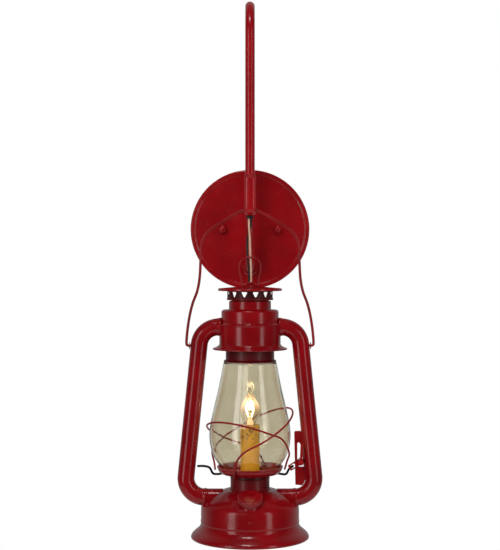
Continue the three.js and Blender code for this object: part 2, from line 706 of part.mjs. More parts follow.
// High on the right and behind, crossing outside the other; its ends drop at the
// left and in front.
const hoopHigh = {
  middle: 38.5, leanX: 23.2, leanY: 8.7, from: 146, to: -96, lift: 2 * GUARD_WIRE_R + 0.7,
  startDrop: [[180, 0.6, 4], [174, 0.5, 10], [162, 0.3, 18]],
  endDrop: [[-107, 0.9, 19], [-114, 2, 10]],
  hooked: [[-117, -0.6, 0.6], [-118, 1.6, underDish - 0.1], [-119, 8, underDish - 0.4]],
};

// The lift wire passes behind the burner neck under the plate, and its right
// end is a crank pin that rides in the lever's slot.
const crankX = leverX - LEVER_ARM;
const crankZ = leverZ - CRANK_DROP;
const lowRun = dishZ - LIFT_WIRE_R - GAP - 0.2;
const wireEndX = tubeCentreX(crankZ) - TUBE_R - 1.4;
function liftWire() {
  const behind = NECK_R + LIFT_WIRE_R + 2;
  const run = wire(smoothPath([
    [-wireEndX, 0, crankZ], [7 - wireEndX, 0, crankZ], [-dishR - 7.5, 0, crankZ - 1.6],
    [-dishR - 4, 1, lowRun + 1.2], [-dishR, 4, lowRun], [-24, 13, lowRun], [-12, behind - 2.4, lowRun],
    [0, behind, lowRun], [12, behind - 2.4, lowRun], [24, 13, lowRun], [dishR - 1, 4, lowRun],
    [dishR + 3, 1, lowRun + 0.6], [crankX - 2.8, 0, crankZ - 2.4], [crankX, 0, crankZ],
  ], 38), LIFT_WIRE_R, 6);
  const pin = alongY(bar(LIFT_WIRE_R, -0.9, 4.8, 8)).translate([crankX, 0, crankZ]);
  return run.add(pin);
}

add(lantern, 'globe', globe(), clearGlass());
add(lantern, 'globe_plate', globePlate(), redEnamel());
add(lantern, 'guard_hoop_low', guardHoop(hoopLow), redEnamel());
add(lantern, 'guard_hoop_high', guardHoop(hoopHigh), redEnamel());
add(lantern, 'lift_wire', liftWire(), blackSteel());

// ------------------------------------------------------------------ side lever
function leverBracket() {
  const left = crankX + LIFT_WIRE_R + 0.7;
  const right = tubeCentreX(leverZ);
  const low = leverZ - 23.5;
  const top = leverZ + 30;
  const outline = [
    [left + 1.2, low], [right, low - 2], [right, top + 1], [left + 0.8, top], [left, top - 1.4],
  ];
  const window = [[-3.2, -5.5], [3.4, -5.5], [1.6, 14], [-1.6, 19], [-3.2, 18]]
    .map(([x, z]) => [leverX + x, leverZ + z]);
  const besideTube = TUBE_R + 2 * GAP;
  const seam = swept(bentPath(tubeCorners.slice(1), [TUBE_BEND], 6), ring(besideTube, besideTube, PIPE));
  const half = BRACKET_THICK / 2;
  const lug = alongY(bar(3.2, -half, half, 12)).add(box([9, BRACKET_THICK, 2.4], [0, 0, 0]))
    .translate([leverX, 0, leverZ]);
  const rivetHole = alongY(bar(RIVET_R + GAP, -2, 2, 12)).translate([leverX, 0, leverZ]);
  return upright(outline, BRACKET_THICK, [window]).add(lug).subtract(seam).subtract(rivetHole);
}

const armFront = BRACKET_THICK / 2 + 2.2;     // front of the lever's slotted arm
const handleBack = TUBE_R + 1.4;              // the handle swings in front of the tube
function lever() {
  const turn = THREE.MathUtils.radToDeg(Math.atan2(CRANK_DROP, LEVER_ARM));
  const halfSlot = LIFT_WIRE_R + 0.7;
  const longest = Math.hypot(LEVER_ARM, CRANK_DROP) + 0.4;
  const slotEnd = alongY(bar(halfSlot, armFront - 3, armFront + 3, 12));
  const slot = box([longest - LEVER_ARM + 1.2, 6, 2 * halfSlot], [-(longest + LEVER_ARM) / 2, -armFront, 0])
    .add(slotEnd.translate([-longest, 0, 0]))
    .add(slotEnd.translate([-LEVER_ARM + 0.4, 0, 0]));
  const arm = box([longest + 3.2, 1.2, 2 * halfSlot + 2.4], [-(longest + 3.2) / 2, -armFront + 0.6, 0])
    .subtract(slot).rotate([0, -turn, 0]);
  const hub = alongY(bar(LEVER_HUB_R, armFront - 1.2, handleBack + 1.4, 16));
  const handle = box([2.6, 1.4, 20], [0, -handleBack - 0.7, 10]).rotate([0, 3, 0]);
  return arm.add(hub).add(handle).subtract(alongY(bar(RIVET_R + 0.4, -1, handleBack + 4, 12)));
}

function leverRivet() {
  const front = handleBack + 1.4 + GAP;
  const back = -BRACKET_THICK / 2 - GAP;
  const shank = bar(RIVET_R, back - 0.6, front + 0.5, 12);
  const headR = RIVET_R + 1.1;
  return alongY(shank.add(bar(headR, front, front + 1.1, 12)).add(bar(headR, back - 1.2, back, 12)));
}

add(lantern, 'lever_bracket', leverBracket(), redEnamel());
add(lantern, 'lever', lever(), darkRed(), [leverX, 0, leverZ]);
add(lantern, 'lever_rivet', leverRivet(), redEnamel(), [leverX, 0, leverZ]);

// ------------------------------------------------------ chimney, vents and cap
const pipeR = COLLAR_R - SHEET - 1;
function chimneyTube() {
  const rim = globeTop + GAP;
  const bell = GLOBE_TOP_R - 2.3;
  const profile = [
    [GLOBE_TOP_R - 0.2, rim], [GLOBE_TOP_R - 0.2, rim + 1.2], [bell, rim + 2.2], [bell, rim + 14.7],
    [pipeR, rim + 24.7], [pipeR, ventFoot + 1.8],
  ];
  const inner = profile.slice(2).map(([r, z]) => [r - SHEET, z]).reverse();
  return turned([...profile, ...inner, [bell - SHEET, rim]]);
}

function ventRing() {
  const r = VENT_R;
  const hole = pipeR + GAP;
  const band = turned([
    [hole, ventFoot], [r - 0.7, ventFoot], [r + 0.3, ventFoot + 1], [r, ventFoot + 2], [r, ventTop],
    [r - SHEET, ventTop], [r - SHEET, ventFoot + 2.2], [hole, ventFoot + SHEET],
  ]);
  const low = ventFoot + 2.2;
  const high = ventTop - 2;
  const triangle = [
    [-0.8, low], [0.8, low], [3.4, high - 0.8], [2.8, high], [-2.8, high], [-3.4, high - 0.8],
  ];
  const notch = upright(triangle, 4 * r);
  let vented = band;
  for (let i = 0; i < VENT_COUNT / 2; i++) {
    vented = vented.subtract(notch.rotate([0, 0, ((i + 0.5) * 360) / VENT_COUNT]));
  }
  return vented;
}

const capBore = 3.2;
function chimneyCap() {
  const top = capTop;
  return turned([
    [capBore, top - 0.6], [4.6, top - 1.6], [10, top - 3.4], [24, top - 4.8], [CAP_R - 1, top - 5.4],
    [CAP_R, top - 6.2], [CAP_R - 0.2, top - 7.8], [CAP_R - 1.2, top - 7.8], [CAP_R - 1.6, top - 6.7],
    [24, top - 6.2], [10, top - 4.8], [capBore, top - 3],
  ]);
}
const capBushing = () => turned([
  [2.5, capTop - 3.6], [capBore - GAP, capTop - 3.6], [capBore - GAP, capTop - 0.3], [4, capTop - 0.3],
  [3.6, capTop + 0.6], [2.5, capTop + 1.2],
], 16);

const loopY = -5.5;
function liftLoop() {
  const foot = capTop - 2.8;
  const half = [[7.4, 0], [8.6, 6.2], [10.3, 13.8], [10.6, 19.2], [9.2, 24.2], [5, 27.4]]
    .map(([x, z]) => [x, foot + z]);
  return wire(smoothPath(bothHalves(half, foot + 28.2, loopY), 26), 1, 6);
}

add(lantern, 'chimney_tube', chimneyTube(), darkRed());
add(lantern, 'vent_ring', ventRing(), darkRed());
add(lantern, 'chimney_cap', chimneyCap(), redEnamel());
add(lantern, 'cap_bushing', capBushing(), redEnamel());
add(lantern, 'lift_loop', liftLoop(), redEnamel());

// ----------------------------------------------------------------------- leads
// Two single leads hang from the hook's outlet to the chimney cap.
const leadRoutes = {
  lead_black: [
    [1.1, 0.2, 320.6], [1.1, 0.2, 317.5], [1.0, 0.4, 314], [0.7, 1.0, 310.5], [0, 1.4, 307.5],
    [-0.9, 1.5, 304.5], [-1.8, 1.3, 301], [-2.5, 0.9, 296.5], [-2.8, 0.6, 291], [-2.7, 0.4, 285],
    [-2.3, 0.3, 279], [-1.8, 0.2, 273], [-1.4, 0, 267], [-1.2, 0, 261], [-1.1, 0, 256], [-1.1, 0, 251],
  ],
  lead_cream: [
    [-1.1, -0.2, 320.6], [-1.1, -0.2, 317.5], [-1.1, -0.4, 314], [-1.0, -0.9, 310.5], [-0.8, -1.2, 307.5],
    [-0.6, -1.3, 304.5], [-0.4, -1.1, 301], [-0.2, -0.8, 296.5], [0, -0.5, 291], [0.2, -0.3, 285],
    [0.5, -0.2, 279], [0.8, -0.1, 273], [1.0, 0, 267], [1.1, 0, 261], [1.1, 0, 256], [1.1, 0, 251],
  ],
};
const leadColours = { lead_black: 0x1a1410, lead_cream: 0xc89a86 };
for (const [name, route] of Object.entries(leadRoutes)) {
  add(lantern, name, wire(smoothPath(route, 30), LEAD_R, 8), finish(leadColours[name], 0.6, 0));
}

export default lamp;
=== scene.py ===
# Red electrified hurricane lantern, hung by its bail from a gooseneck wall arm.
# Metres in the CAD frame; outlines are written in millimetres and scaled once.
import math

import bpy
import numpy as np
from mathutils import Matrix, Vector


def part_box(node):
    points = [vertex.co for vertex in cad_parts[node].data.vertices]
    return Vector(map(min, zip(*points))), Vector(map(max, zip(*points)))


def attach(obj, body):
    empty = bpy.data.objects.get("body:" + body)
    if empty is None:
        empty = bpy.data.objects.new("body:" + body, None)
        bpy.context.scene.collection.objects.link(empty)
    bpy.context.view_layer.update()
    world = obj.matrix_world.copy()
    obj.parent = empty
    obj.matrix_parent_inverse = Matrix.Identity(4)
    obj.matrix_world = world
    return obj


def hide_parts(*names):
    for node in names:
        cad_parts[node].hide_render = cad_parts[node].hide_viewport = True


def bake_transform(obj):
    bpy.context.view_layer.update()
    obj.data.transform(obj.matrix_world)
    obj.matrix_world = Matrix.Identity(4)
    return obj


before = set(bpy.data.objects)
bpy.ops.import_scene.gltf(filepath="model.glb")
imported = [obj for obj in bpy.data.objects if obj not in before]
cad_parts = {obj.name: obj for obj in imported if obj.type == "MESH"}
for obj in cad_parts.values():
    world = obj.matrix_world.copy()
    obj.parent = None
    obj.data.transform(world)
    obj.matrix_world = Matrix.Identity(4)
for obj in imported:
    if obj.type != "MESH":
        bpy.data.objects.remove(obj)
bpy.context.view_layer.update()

MM = 0.001


# ------------------------------------------------------------------ places
def low(node, axis):
    """Lowest coordinate of a CAD node along an axis, in millimetres."""
    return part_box(node)[0][axis] / MM


def high(node, axis):
    """Highest coordinate of a CAD node along an axis, in millimetres."""
    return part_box(node)[1][axis] / MM


def radius_of(node):
    """Half of a CAD node's width, in millimetres."""
    return (high(node, 0) - low(node, 0)) / 2


AXIS_Y = (low("tank_shell", 1) + high("tank_shell", 1)) / 2
BASE_Z = low("tank_shell", 2)


def from_base(points):
    """Points in millimetres from the middle of the lantern's base, as points in the CAD frame."""
    return np.asarray(points, float) + (0, AXIS_Y, BASE_Z)


def top_of(node):
    """Height of a CAD node's top above the lantern's base, in millimetres."""
    return high(node, 2) - BASE_Z


def foot_of(node):
    """Height of a CAD node's foot above the lantern's base, in millimetres."""
    return low(node, 2) - BASE_Z


# ------------------------------------------------------------------ camera
CAMERA_DISTANCE = 1.3         # from the lantern's axis
CAMERA_HEIGHT = -0.036

camera_data = bpy.data.cameras.new("camera")
camera_data.lens = 85.1
camera_data.shift_y = -0.0218
camera = bpy.data.objects.new("camera", camera_data)
camera.location = (0, AXIS_Y * MM - CAMERA_DISTANCE, CAMERA_HEIGHT)
camera.rotation_euler = (math.pi / 2, 0, 0)
bpy.context.scene.collection.objects.link(camera)
bpy.context.scene.camera = camera
bpy.context.scene.view_settings.view_transform = "Standard"


# ------------------------------------------------------------------ curves
def unit(vector):
    """The vector at length one."""
    return vector / np.linalg.norm(vector)


def filleted(corners, fillets, steps=6):
    """A line through corners, each inner corner turned into an arc.

    The arc of radius f touches both sides at f / tan(half the corner's angle)
    from the corner, and its centre lies on the corner's bisector.
    """
    corners = [np.asarray(c, float) for c in corners]
    points = [corners[0]]
    for before, corner, after, fillet in zip(corners, corners[1:], corners[2:], fillets):
        back = unit(before - corner)
        on = unit(after - corner)
        half = math.acos(np.clip(back @ on, -1, 1)) / 2
        room = 0.49 * min(np.linalg.norm(before - corner), np.linalg.norm(after - corner))
        if len(corners[0]) == 3:
            room = 2 * room
        reach = min(fillet / math.tan(half), room)
        if reach < 1e-6 or half > 1.56:
            points.append(corner)
            continue
        radius = reach * math.tan(half)
        centre = corner + unit(back + on) * radius / math.sin(half)
        first = corner + back * reach - centre
        last = corner + on * reach - centre
        sweep = math.pi - 2 * half
        for k in range(steps + 1):
            t = k / steps
            blend = math.sin((1 - t) * sweep) * first + math.sin(t * sweep) * last
            points.append(centre + blend / math.sin(sweep))
    points.append(corners[-1])
    return np.array(points)


def outline(corners, steps=6):
    """A turned piece's outline from (radius, height, fillet) corners; the two ends have no fillet."""
    return filleted([c[:2] for c in corners], [c[2] for c in corners[1:-1]], steps)


def mix(first, second, start, end, at):
    """The two points blended in proportion to where at lies between start and end."""
    return ((end - at) * first + (at - start) * second) / (end - start)


def spline(knots, steps):
    """Centripetal Catmull-Rom curve through the knots, in even steps of the knot count.

    Each knot's parameter t grows by the square root of the chord before it. A
    point blends neighbours in pairs, three rounds over: in round n, a pair k
    blends from t[k] to t[k + n], except that the last round blends between the
    two middle knots only.
    """
    knots = np.asarray(knots, float)
    padded = np.vstack([2 * knots[0] - knots[1], knots, 2 * knots[-1] - knots[-2]])
    spans = len(knots) - 1
    points = []
    for u in np.linspace(0, spans, steps + 1):
        i = min(int(u), spans - 1)
        p = padded[i:i + 4]
        t = np.concatenate([[0], np.cumsum(np.sqrt(np.linalg.norm(np.diff(p, axis=0), axis=1)))])
        s = t[1] + (u - i) * (t[2] - t[1])
        p = [mix(p[k], p[k + 1], t[k], t[k + 1], s) for k in range(3)]
        p = [mix(p[k], p[k + 1], t[k], t[k + 2], s) for k in range(2)]
        points.append(mix(p[0], p[1], t[1], t[2], s))
    return np.array(points)


# ------------------------------------------------------------------ meshes
def skin(name, rings, loop=False, ends=(None, None)):
    """A closed surface over rings of points, each ring closing on itself.

    loop joins the last ring to the first; otherwise each end is closed by a fan
    to its end point, or to the ring's own middle. UV: turns round the ring, and
    metres along the rings.
    """
    rings = np.asarray(rings, float) * MM
    count, around, _ = rings.shape
    points = rings.reshape(-1, 3)
    i = np.arange(count if loop else count - 1)[:, None]
    j = np.arange(around)[None, :]
    on = (i + 1) % count
    beside = (j + 1) % around
    faces = np.stack([i * around + j, i * around + beside, on * around + beside, on * around + j], -1)
    steps = np.linalg.norm(np.diff(rings, axis=0), axis=2).mean(axis=1)
    along = np.concatenate([[0], np.cumsum(steps), [steps.sum()]])
    turn = np.broadcast_to(j / around, faces.shape[:2])
    next_turn = turn + 1 / around
    here = np.broadcast_to(along[i], faces.shape[:2])
    there = np.broadcast_to(along[i + 1], faces.shape[:2])
    uv = np.stack([turn, here, next_turn, here, next_turn, there, turn, there], -1)
    faces = faces.reshape(-1, 4).tolist()
    uv = uv.reshape(-1, 4, 2).tolist()
    if not loop:
        for ring, end, flip in ((0, ends[0], True), (count - 1, ends[1], False)):
            middle = rings[ring].mean(axis=0) if end is None else np.asarray(end, float) * MM
            tip = len(points)
            points = np.vstack([points, middle])
            for k in range(around):
                a, b = ring * around + k, ring * around + (k + 1) % around
                faces.append([b, a, tip] if flip else [a, b, tip])
                edge = [[(k + 1) / around, along[ring]], [k / around, along[ring]]]
                uv.append((edge if flip else edge[::-1]) + [[(k + 0.5) / around, along[ring]]])
    return mesh_object(name, points, faces, uv)


def mesh_object(name, points, faces, uv=None):
    """A smooth mesh object with its faces turned outward."""
    points = np.asarray(points)
    centred = points - points.mean(axis=0)
    volume = 0.0
    for face in faces:
        corner = centred[face[0]]
        for a, b in zip(face[1:], face[2:]):
            volume += corner @ np.cross(centred[a], centred[b])
    if volume < 0:
        faces = [face[::-1] for face in faces]
        uv = [corners[::-1] for corners in uv] if uv else None
    mesh = bpy.data.meshes.new(name)
    mesh.from_pydata(points.tolist(), [], faces)
    if uv:
        layer = mesh.uv_layers.new(name="UVMap")
        layer.data.foreach_set("uv", np.concatenate([np.ravel(corners) for corners in uv]))
    mesh.shade_smooth()
    mesh.update()
    piece = bpy.data.objects.new(name, mesh)
    bpy.context.scene.collection.objects.link(piece)
    return piece


def even_normals(piece):
    """Lets large flat faces set the shading, so that fillets stay crisp."""
    modifier = piece.modifiers.new("even_normals", "WEIGHTED_NORMAL")
    modifier.keep_sharp = True
    return piece


def turned_rings(profile, facets, wave=None, face_out=False):
    """Rings of a turned piece about Z, or about -Y with face_out: x = r cos a, y = r sin a.

    wave(angle, radius, height) adds to the radius.
    """
    angle = np.linspace(0, 2 * math.pi, facets, endpoint=False)
    r = np.repeat(profile[:, :1], facets, axis=1)
    h = np.repeat(profile[:, 1:], facets, axis=1)
    if wave:
        r = r + wave(angle[None, :], r, h)
    if face_out:
        return np.stack([r * np.cos(angle), -h, r * np.sin(angle)], -1)
    return np.stack([r * np.cos(angle), r * np.sin(angle), h], -1)


def turned(name, profile, at=None, facets=144, wave=None, face_out=False, move=None):
    """A turned piece. A profile that starts and ends on the axis closes there; any other is a loop."""
    profile = np.asarray(profile, float)
    solid = profile[0][0] < 1e-6 and profile[-1][0] < 1e-6
    body = profile[1:-1] if solid else profile
    rings = turned_rings(body, facets, wave, face_out)
    ends = (None, None)
    if solid:
        ends = [(0, -h, 0) if face_out else (0, 0, h) for h in (profile[0][1], profile[-1][1])]
    move = move or (lambda points: points + np.asarray(at, float))
    rings = move(rings)
    ends = [None if end is None else move(np.array(end, float)) for end in ends]
    if not solid and np.allclose(profile[0], profile[-1]):
        rings = rings[:-1]
    return even_normals(skin(name, rings, loop=not solid, ends=ends))


LANTERN_AXIS = (0, AXIS_Y, BASE_Z)


def swept(name, path, half_width, half_thick=None, sides=32, domed=False, loop=False, side=(1, 0, 0)):
    """A bar along a path: middle + side cos a half_width + up sin a half_thick.

    side starts nearest to the given direction and is carried along without
    twist. A domed end closes in a quarter circle.
    """
    path = np.asarray(path, float)
    count = len(path)
    wide = np.broadcast_to(half_width, count).astype(float)
    thick = wide if half_thick is None else np.broadcast_to(half_thick, count).astype(float)
    tangent = np.gradient(path, axis=0)
    if loop:
        tangent = np.roll(path, -1, axis=0) - np.roll(path, 1, axis=0)
    tangent /= np.linalg.norm(tangent, axis=1)[:, None]
    across = np.asarray(side, float)
    angle = np.linspace(0, 2 * math.pi, sides, endpoint=False)[:, None]
    frames = []
    for t in tangent:
        across = unit(across - (across @ t) * t)
        frames.append((across, np.cross(t, across)))
    rings = []
    if domed:
        a, b = frames[0]
        for k in range(4, 0, -1):
            s, c = math.sin(k * math.pi / 10), math.cos(k * math.pi / 10)
            rings.append(path[0] - tangent[0] * wide[0] * s + c * (
                wide[0] * np.cos(angle) * a + thick[0] * np.sin(angle) * b))
    for p, (a, b), w, h in zip(path, frames, wide, thick):
        rings.append(p + w * np.cos(angle) * a + h * np.sin(angle) * b)
    if domed:
        a, b = frames[-1]
        for k in range(1, 5):
            s, c = math.sin(k * math.pi / 10), math.cos(k * math.pi / 10)
            rings.append(path[-1] + tangent[-1] * wide[-1] * s + c * (
                wide[-1] * np.cos(angle) * a + thick[-1] * np.sin(angle) * b))
    return skin(name, rings, loop=loop)


def both_halves(half, middle, y=0.0):
    """A wire in the XZ plane and its mirror image, joined at the middle height."""
    right = [(x, y, z) for x, z in half]
    left = [(-x, y, z) for x, z in reversed(half)]
    return right + [(0, y, middle)] + left


# --------------------------------------------------------------- materials
def colour(code):
    """A linear RGBA colour from an sRGB hex code, by the sRGB curve."""
    channels = [int(code[k:k + 2], 16) / 255 for k in (1, 3, 5)]
    linear = [c / 12.92 if c <= 0.04045 else ((c + 0.055) / 1.055) ** 2.4 for c in channels]
    return (*linear, 1.0)


def new_material(name):
    """An empty node material with its Principled shader."""
    material = bpy.data.materials.new(name)
    material.use_nodes = True
    return material, material.node_tree, material.node_tree.nodes["Principled BSDF"]


def add(tree, kind, settings=None, **inputs):
    """Adds a node; settings are its properties, inputs its sockets' values or links."""
    node = tree.nodes.new(kind)
    for key, value in (settings or {}).items():
        setattr(node, key, value)
    for key, value in inputs.items():
        socket = node.inputs[int(key[1:])] if key[0] == "i" and key[1:].isdigit() else node.inputs[key]
        if isinstance(value, bpy.types.NodeSocket):
            tree.links.new(value, socket)
        else:
            socket.default_value = value
    return node


def noise(tree, size, detail=3.0, roughness=0.5):
    """Noise over the object whose features are about size millimetres across."""
    place = add(tree, "ShaderNodeTexCoord").outputs["Object"]
    return add(tree, "ShaderNodeTexNoise", Vector=place, Scale=1 / (size * MM), Detail=detail,
               Roughness=roughness).outputs["Fac"]


def between(tree, value, start, end, first, last):
    """The value's range from start to end spread over first to last."""
    return add(tree, "ShaderNodeMapRange", i0=value, i1=start, i2=end, i3=first, i4=last).outputs[0]


def mixed(tree, factor, first, second):
    """Two colours mixed by a factor."""
    node = add(tree, "ShaderNodeMix", {"data_type": "RGBA"}, i0=factor)
    for socket, value in ((node.inputs[6], first), (node.inputs[7], second)):
        if isinstance(value, bpy.types.NodeSocket):
            tree.links.new(value, socket)
        else:
            socket.default_value = value
    return node.outputs[2]


def bumped(tree, height, strength, depth):
    """A bump whose full height is depth millimetres."""
    return add(tree, "ShaderNodeBump", Strength=strength, Distance=depth * MM, Height=height).outputs["Normal"]


def enamel(name, body, shade, gloss, coat):
    """Sprayed enamel: uneven film, faint orange peel, dulled patches, and a paler red on sharp edges that is partly
    thin paint, partly painted edge sheen.
    """
    material, tree, shader = new_material(name)
    film = between(tree, noise(tree, 38, 4), 0.35, 0.65, 0.0, 1.0)
    base = mixed(tree, film, colour(shade), colour(body))
    edge = add(tree, "ShaderNodeNewGeometry").outputs["Pointiness"]
    # Paler red where the surface is sharply convex: partly thin paint on the edges, partly painted sheen on the rims.
    worn_and_sheen = between(tree, edge, 0.54, 0.62, 0.0, 0.3)
    specks = between(tree, noise(tree, 1.6, 2), 0.68, 0.76, 0.0, 0.25)
    base = mixed(tree, worn_and_sheen, base, colour("#B8322C"))
    base = mixed(tree, specks, base, colour(shade))
    tree.links.new(base, shader.inputs["Base Color"])
    patches = between(tree, noise(tree, 12, 5), 0.35, 0.7, gloss, gloss + 0.1)
    tree.links.new(patches, shader.inputs["Roughness"])
    peel = bumped(tree, noise(tree, 1.3, 2), 0.08, 0.03)
    sag = add(tree, "ShaderNodeBump", Strength=0.1, Distance=0.3 * MM, Height=noise(tree, 9, 2), Normal=peel)
    tree.links.new(sag.outputs["Normal"], shader.inputs["Normal"])
    shader.inputs["Specular IOR Level"].default_value = 0.28
    shader.inputs["Coat Weight"].default_value = coat
    shader.inputs["Coat Roughness"].default_value = 0.08
    shader.inputs["Coat IOR"].default_value = 1.35
    return material


def metal(name, body, shade, rough):
    """Bare or plated metal with a fine grain and cloudy dulling."""
    material, tree, shader = new_material(name)
    cloud = between(tree, noise(tree, 6, 4), 0.3, 0.7, 0.0, 1.0)
    tree.links.new(mixed(tree, cloud, colour(shade), colour(body)), shader.inputs["Base Color"])
    grain = noise(tree, 0.7, 3)
    tree.links.new(between(tree, grain, 0.3, 0.7, rough, rough + 0.18), shader.inputs["Roughness"])
    tree.links.new(bumped(tree, grain, 0.2, 0.04), shader.inputs["Normal"])
    shader.inputs["Metallic"].default_value = 1.0
    return material


def plastic(name, body, shade, rough, grain_size=0.8):
    """Moulded plastic or rubber with a fine pebble and slight mottling."""
    material, tree, shader = new_material(name)
    mottle = between(tree, noise(tree, 7, 4), 0.3, 0.7, 0.0, 1.0)
    tree.links.new(mixed(tree, mottle, colour(shade), colour(body)), shader.inputs["Base Color"])
    grain = noise(tree, grain_size, 2)
    tree.links.new(between(tree, grain, 0.3, 0.7, rough, rough + 0.12), shader.inputs["Roughness"])
    tree.links.new(bumped(tree, grain, 0.25, 0.05), shader.inputs["Normal"])
    return material


def blown_glass(name, tint, edge_tint, ripple):
    """Clear blown glass: upright ripples in the wall and a faint warm film."""
    material, tree, shader = new_material(name)
    place = add(tree, "ShaderNodeTexCoord").outputs["Object"]
    stretched = add(tree, "ShaderNodeMapping", Vector=place, Scale=(1.0, 1.0, 0.16)).outputs["Vector"]
    streaks = add(tree, "ShaderNodeTexNoise", Vector=stretched, Scale=1 / (11 * MM), Detail=2.0).outputs["Fac"]
    film = between(tree, noise(tree, 22, 3), 0.35, 0.7, 0.0, 1.0)
    tree.links.new(mixed(tree, film, colour(tint), colour(edge_tint)), shader.inputs["Base Color"])
    tree.links.new(between(tree, film, 0.0, 1.0, 0.015, 0.06), shader.inputs["Roughness"])
    tree.links.new(bumped(tree, streaks, ripple, 0.6), shader.inputs["Normal"])
    shader.inputs["Transmission Weight"].default_value = 1.0
    shader.inputs["IOR"].default_value = 1.47
    return material


def lit_glass(name, tint, edge_tint, centre):
    """Bulb glass that glows warm near the lit filament: strength falls off with distance from its middle."""
    material = blown_glass(name, tint, edge_tint, 0.1)
    tree = material.node_tree
    shader = tree.nodes["Principled BSDF"]
    place = add(tree, "ShaderNodeTexCoord").outputs["Object"]
    away = add(tree, "ShaderNodeVectorMath", {"operation": "DISTANCE"}, i0=place, i1=centre).outputs["Value"]
    near = between(tree, away, 4 * MM, 13 * MM, 1.0, 0.0)
    steep = add(tree, "ShaderNodeMath", {"operation": "POWER"}, i0=near, i1=2.0).outputs[0]
    tree.links.new(mixed(tree, near, colour("#FF9E5A"), colour("#FFE9C8")), shader.inputs["Emission Color"])
    tree.links.new(between(tree, steep, 0.0, 1.0, 0.0, 1.1), shader.inputs["Emission Strength"])
    return material


def candle_wax(name):
    """Amber candle sleeve: a waxy plastic with a painted glow for the bulb's light on it, darker streaked and
    scorched where the drips run.
    """
    material, tree, shader = new_material(name)
    place = add(tree, "ShaderNodeTexCoord").outputs["Object"]
    height = add(tree, "ShaderNodeSeparateXYZ", Vector=place).outputs["Z"]
    foot, top = low("candle_sleeve", 2) * MM, high("candle_sleeve", 2) * MM
    rise = between(tree, height, foot, top, 0.0, 1.0)
    body = mixed(tree, rise, colour("#C08A06"), colour("#AE8014"))
    mottle = between(tree, noise(tree, 5, 4), 0.45, 0.7, 0.0, 0.7)
    body = mixed(tree, mottle, body, colour("#B07A10"))
    scorched = add(tree, "ShaderNodeMath", {"operation": "MULTIPLY"},
                   i0=between(tree, rise, 0.62, 0.8, 0.0, 1.0),
                   i1=between(tree, noise(tree, 3.2, 3), 0.5, 0.62, 0.0, 0.85)).outputs[0]
    body = mixed(tree, scorched, body, colour("#4E3A16"))
    tree.links.new(body, shader.inputs["Base Color"])
    # Emission in the wax's own colour at 0.15: painted glow standing for the bulb's light shining into the sleeve.
    tree.links.new(body, shader.inputs["Emission Color"])
    shader.inputs["Emission Strength"].default_value = 0.15
    shader.inputs["Subsurface Weight"].default_value = 0.3
    shader.inputs["Subsurface Radius"].default_value = (0.004, 0.002, 0.0006)
    tree.links.new(between(tree, noise(tree, 2, 2), 0.3, 0.7, 0.38, 0.55), shader.inputs["Roughness"])
    tree.links.new(bumped(tree, noise(tree, 1.8, 3), 0.35, 0.2), shader.inputs["Normal"])
    return material


def glowing_wire(name):
    """Lit tungsten filament, its heat and tone varying at random along the coil."""
    material, tree, shader = new_material(name)
    heat = between(tree, noise(tree, 2.5, 1), 0.3, 0.7, 0.75, 1.0)
    tone = mixed(tree, heat, colour("#FFC66B"), colour("#FFF6E0"))
    tree.links.new(tone, shader.inputs["Emission Color"])
    tree.links.new(tone, shader.inputs["Base Color"])
    tree.links.new(between(tree, heat, 0.7, 1.0, 26.0, 34.0), shader.inputs["Emission Strength"])
    shader.inputs["Roughness"].default_value = 0.6
    return material


def warm_stem(name):
    """Pressed glass stem, lit from above by the filament."""
    material, tree, shader = new_material(name)
    cloud = between(tree, noise(tree, 2.2, 3), 0.3, 0.7, 0.0, 1.0)
    tone = mixed(tree, cloud, colour("#E8B48C"), colour("#F6D9BC"))
    tree.links.new(tone, shader.inputs["Base Color"])
    tree.links.new(tone, shader.inputs["Emission Color"])
    shader.inputs["Emission Strength"].default_value = 0.55
    tree.links.new(between(tree, cloud, 0.0, 1.0, 0.2, 0.4), shader.inputs["Roughness"])
    return material


def perforated_enamel(name, body, shade, foot, top, holes):
    """Satin enamel on a strainer: a ring of small punched holes near the top, painted near-black for the shade inside
    them.
    """
    material = enamel(name, body, shade, 0.34, 0.2)
    tree = material.node_tree
    shader = tree.nodes["Principled BSDF"]
    place = add(tree, "ShaderNodeTexCoord").outputs["Object"]
    parts = add(tree, "ShaderNodeSeparateXYZ", Vector=place).outputs
    behind = add(tree, "ShaderNodeMath", {"operation": "SUBTRACT"}, i0=parts["Y"], i1=AXIS_Y * MM).outputs[0]
    angle = add(tree, "ShaderNodeMath", {"operation": "ARCTAN2"}, i0=behind, i1=parts["X"]).outputs[0]
    turns = add(tree, "ShaderNodeMath", {"operation": "MULTIPLY"}, i0=angle, i1=holes / (2 * math.pi)).outputs[0]
    across = add(tree, "ShaderNodeMath", {"operation": "PINGPONG"}, i0=turns, i1=0.5).outputs[0]
    up = between(tree, parts["Z"], foot * MM, top * MM, -0.5, 0.5)
    spread = add(tree, "ShaderNodeCombineXYZ", X=across, Y=up).outputs[0]
    off_centre = add(tree, "ShaderNodeVectorMath", {"operation": "LENGTH"}, i0=spread).outputs["Value"]
    hole_shade = between(tree, off_centre, 0.18, 0.24, 1.0, 0.0)
    painted = shader.inputs["Base Color"].links[0].from_socket
    tree.links.new(mixed(tree, hole_shade, painted, colour("#140203")), shader.inputs["Base Color"])
    return material


# Gloss enamel sprayed over pressed steel, on everything that shows from outside.
red_enamel = enamel("gloss_red_enamel", "#A00812", "#8C060F", 0.2, 0.35)
# The same red made darker on the lantern itself: painted shade, as its rounded sides take less light than the flat
# plate.
lantern_shaded_enamel = enamel("gloss_red_enamel_shaded", "#8E0710", "#7A050D", 0.17, 0.45)
# The same paint on formed wire, where it lies thicker and rounder.
wire_enamel = enamel("wire_red_enamel", "#920A12", "#78060E", 0.3, 0.3)
# Thin satin red, made darker on the inner and underside sheet-metal parts as painted shade where they sit under other
# parts.
shaded_enamel = enamel("satin_shaded_red_enamel", "#62070D", "#4A0408", 0.36, 0.15)
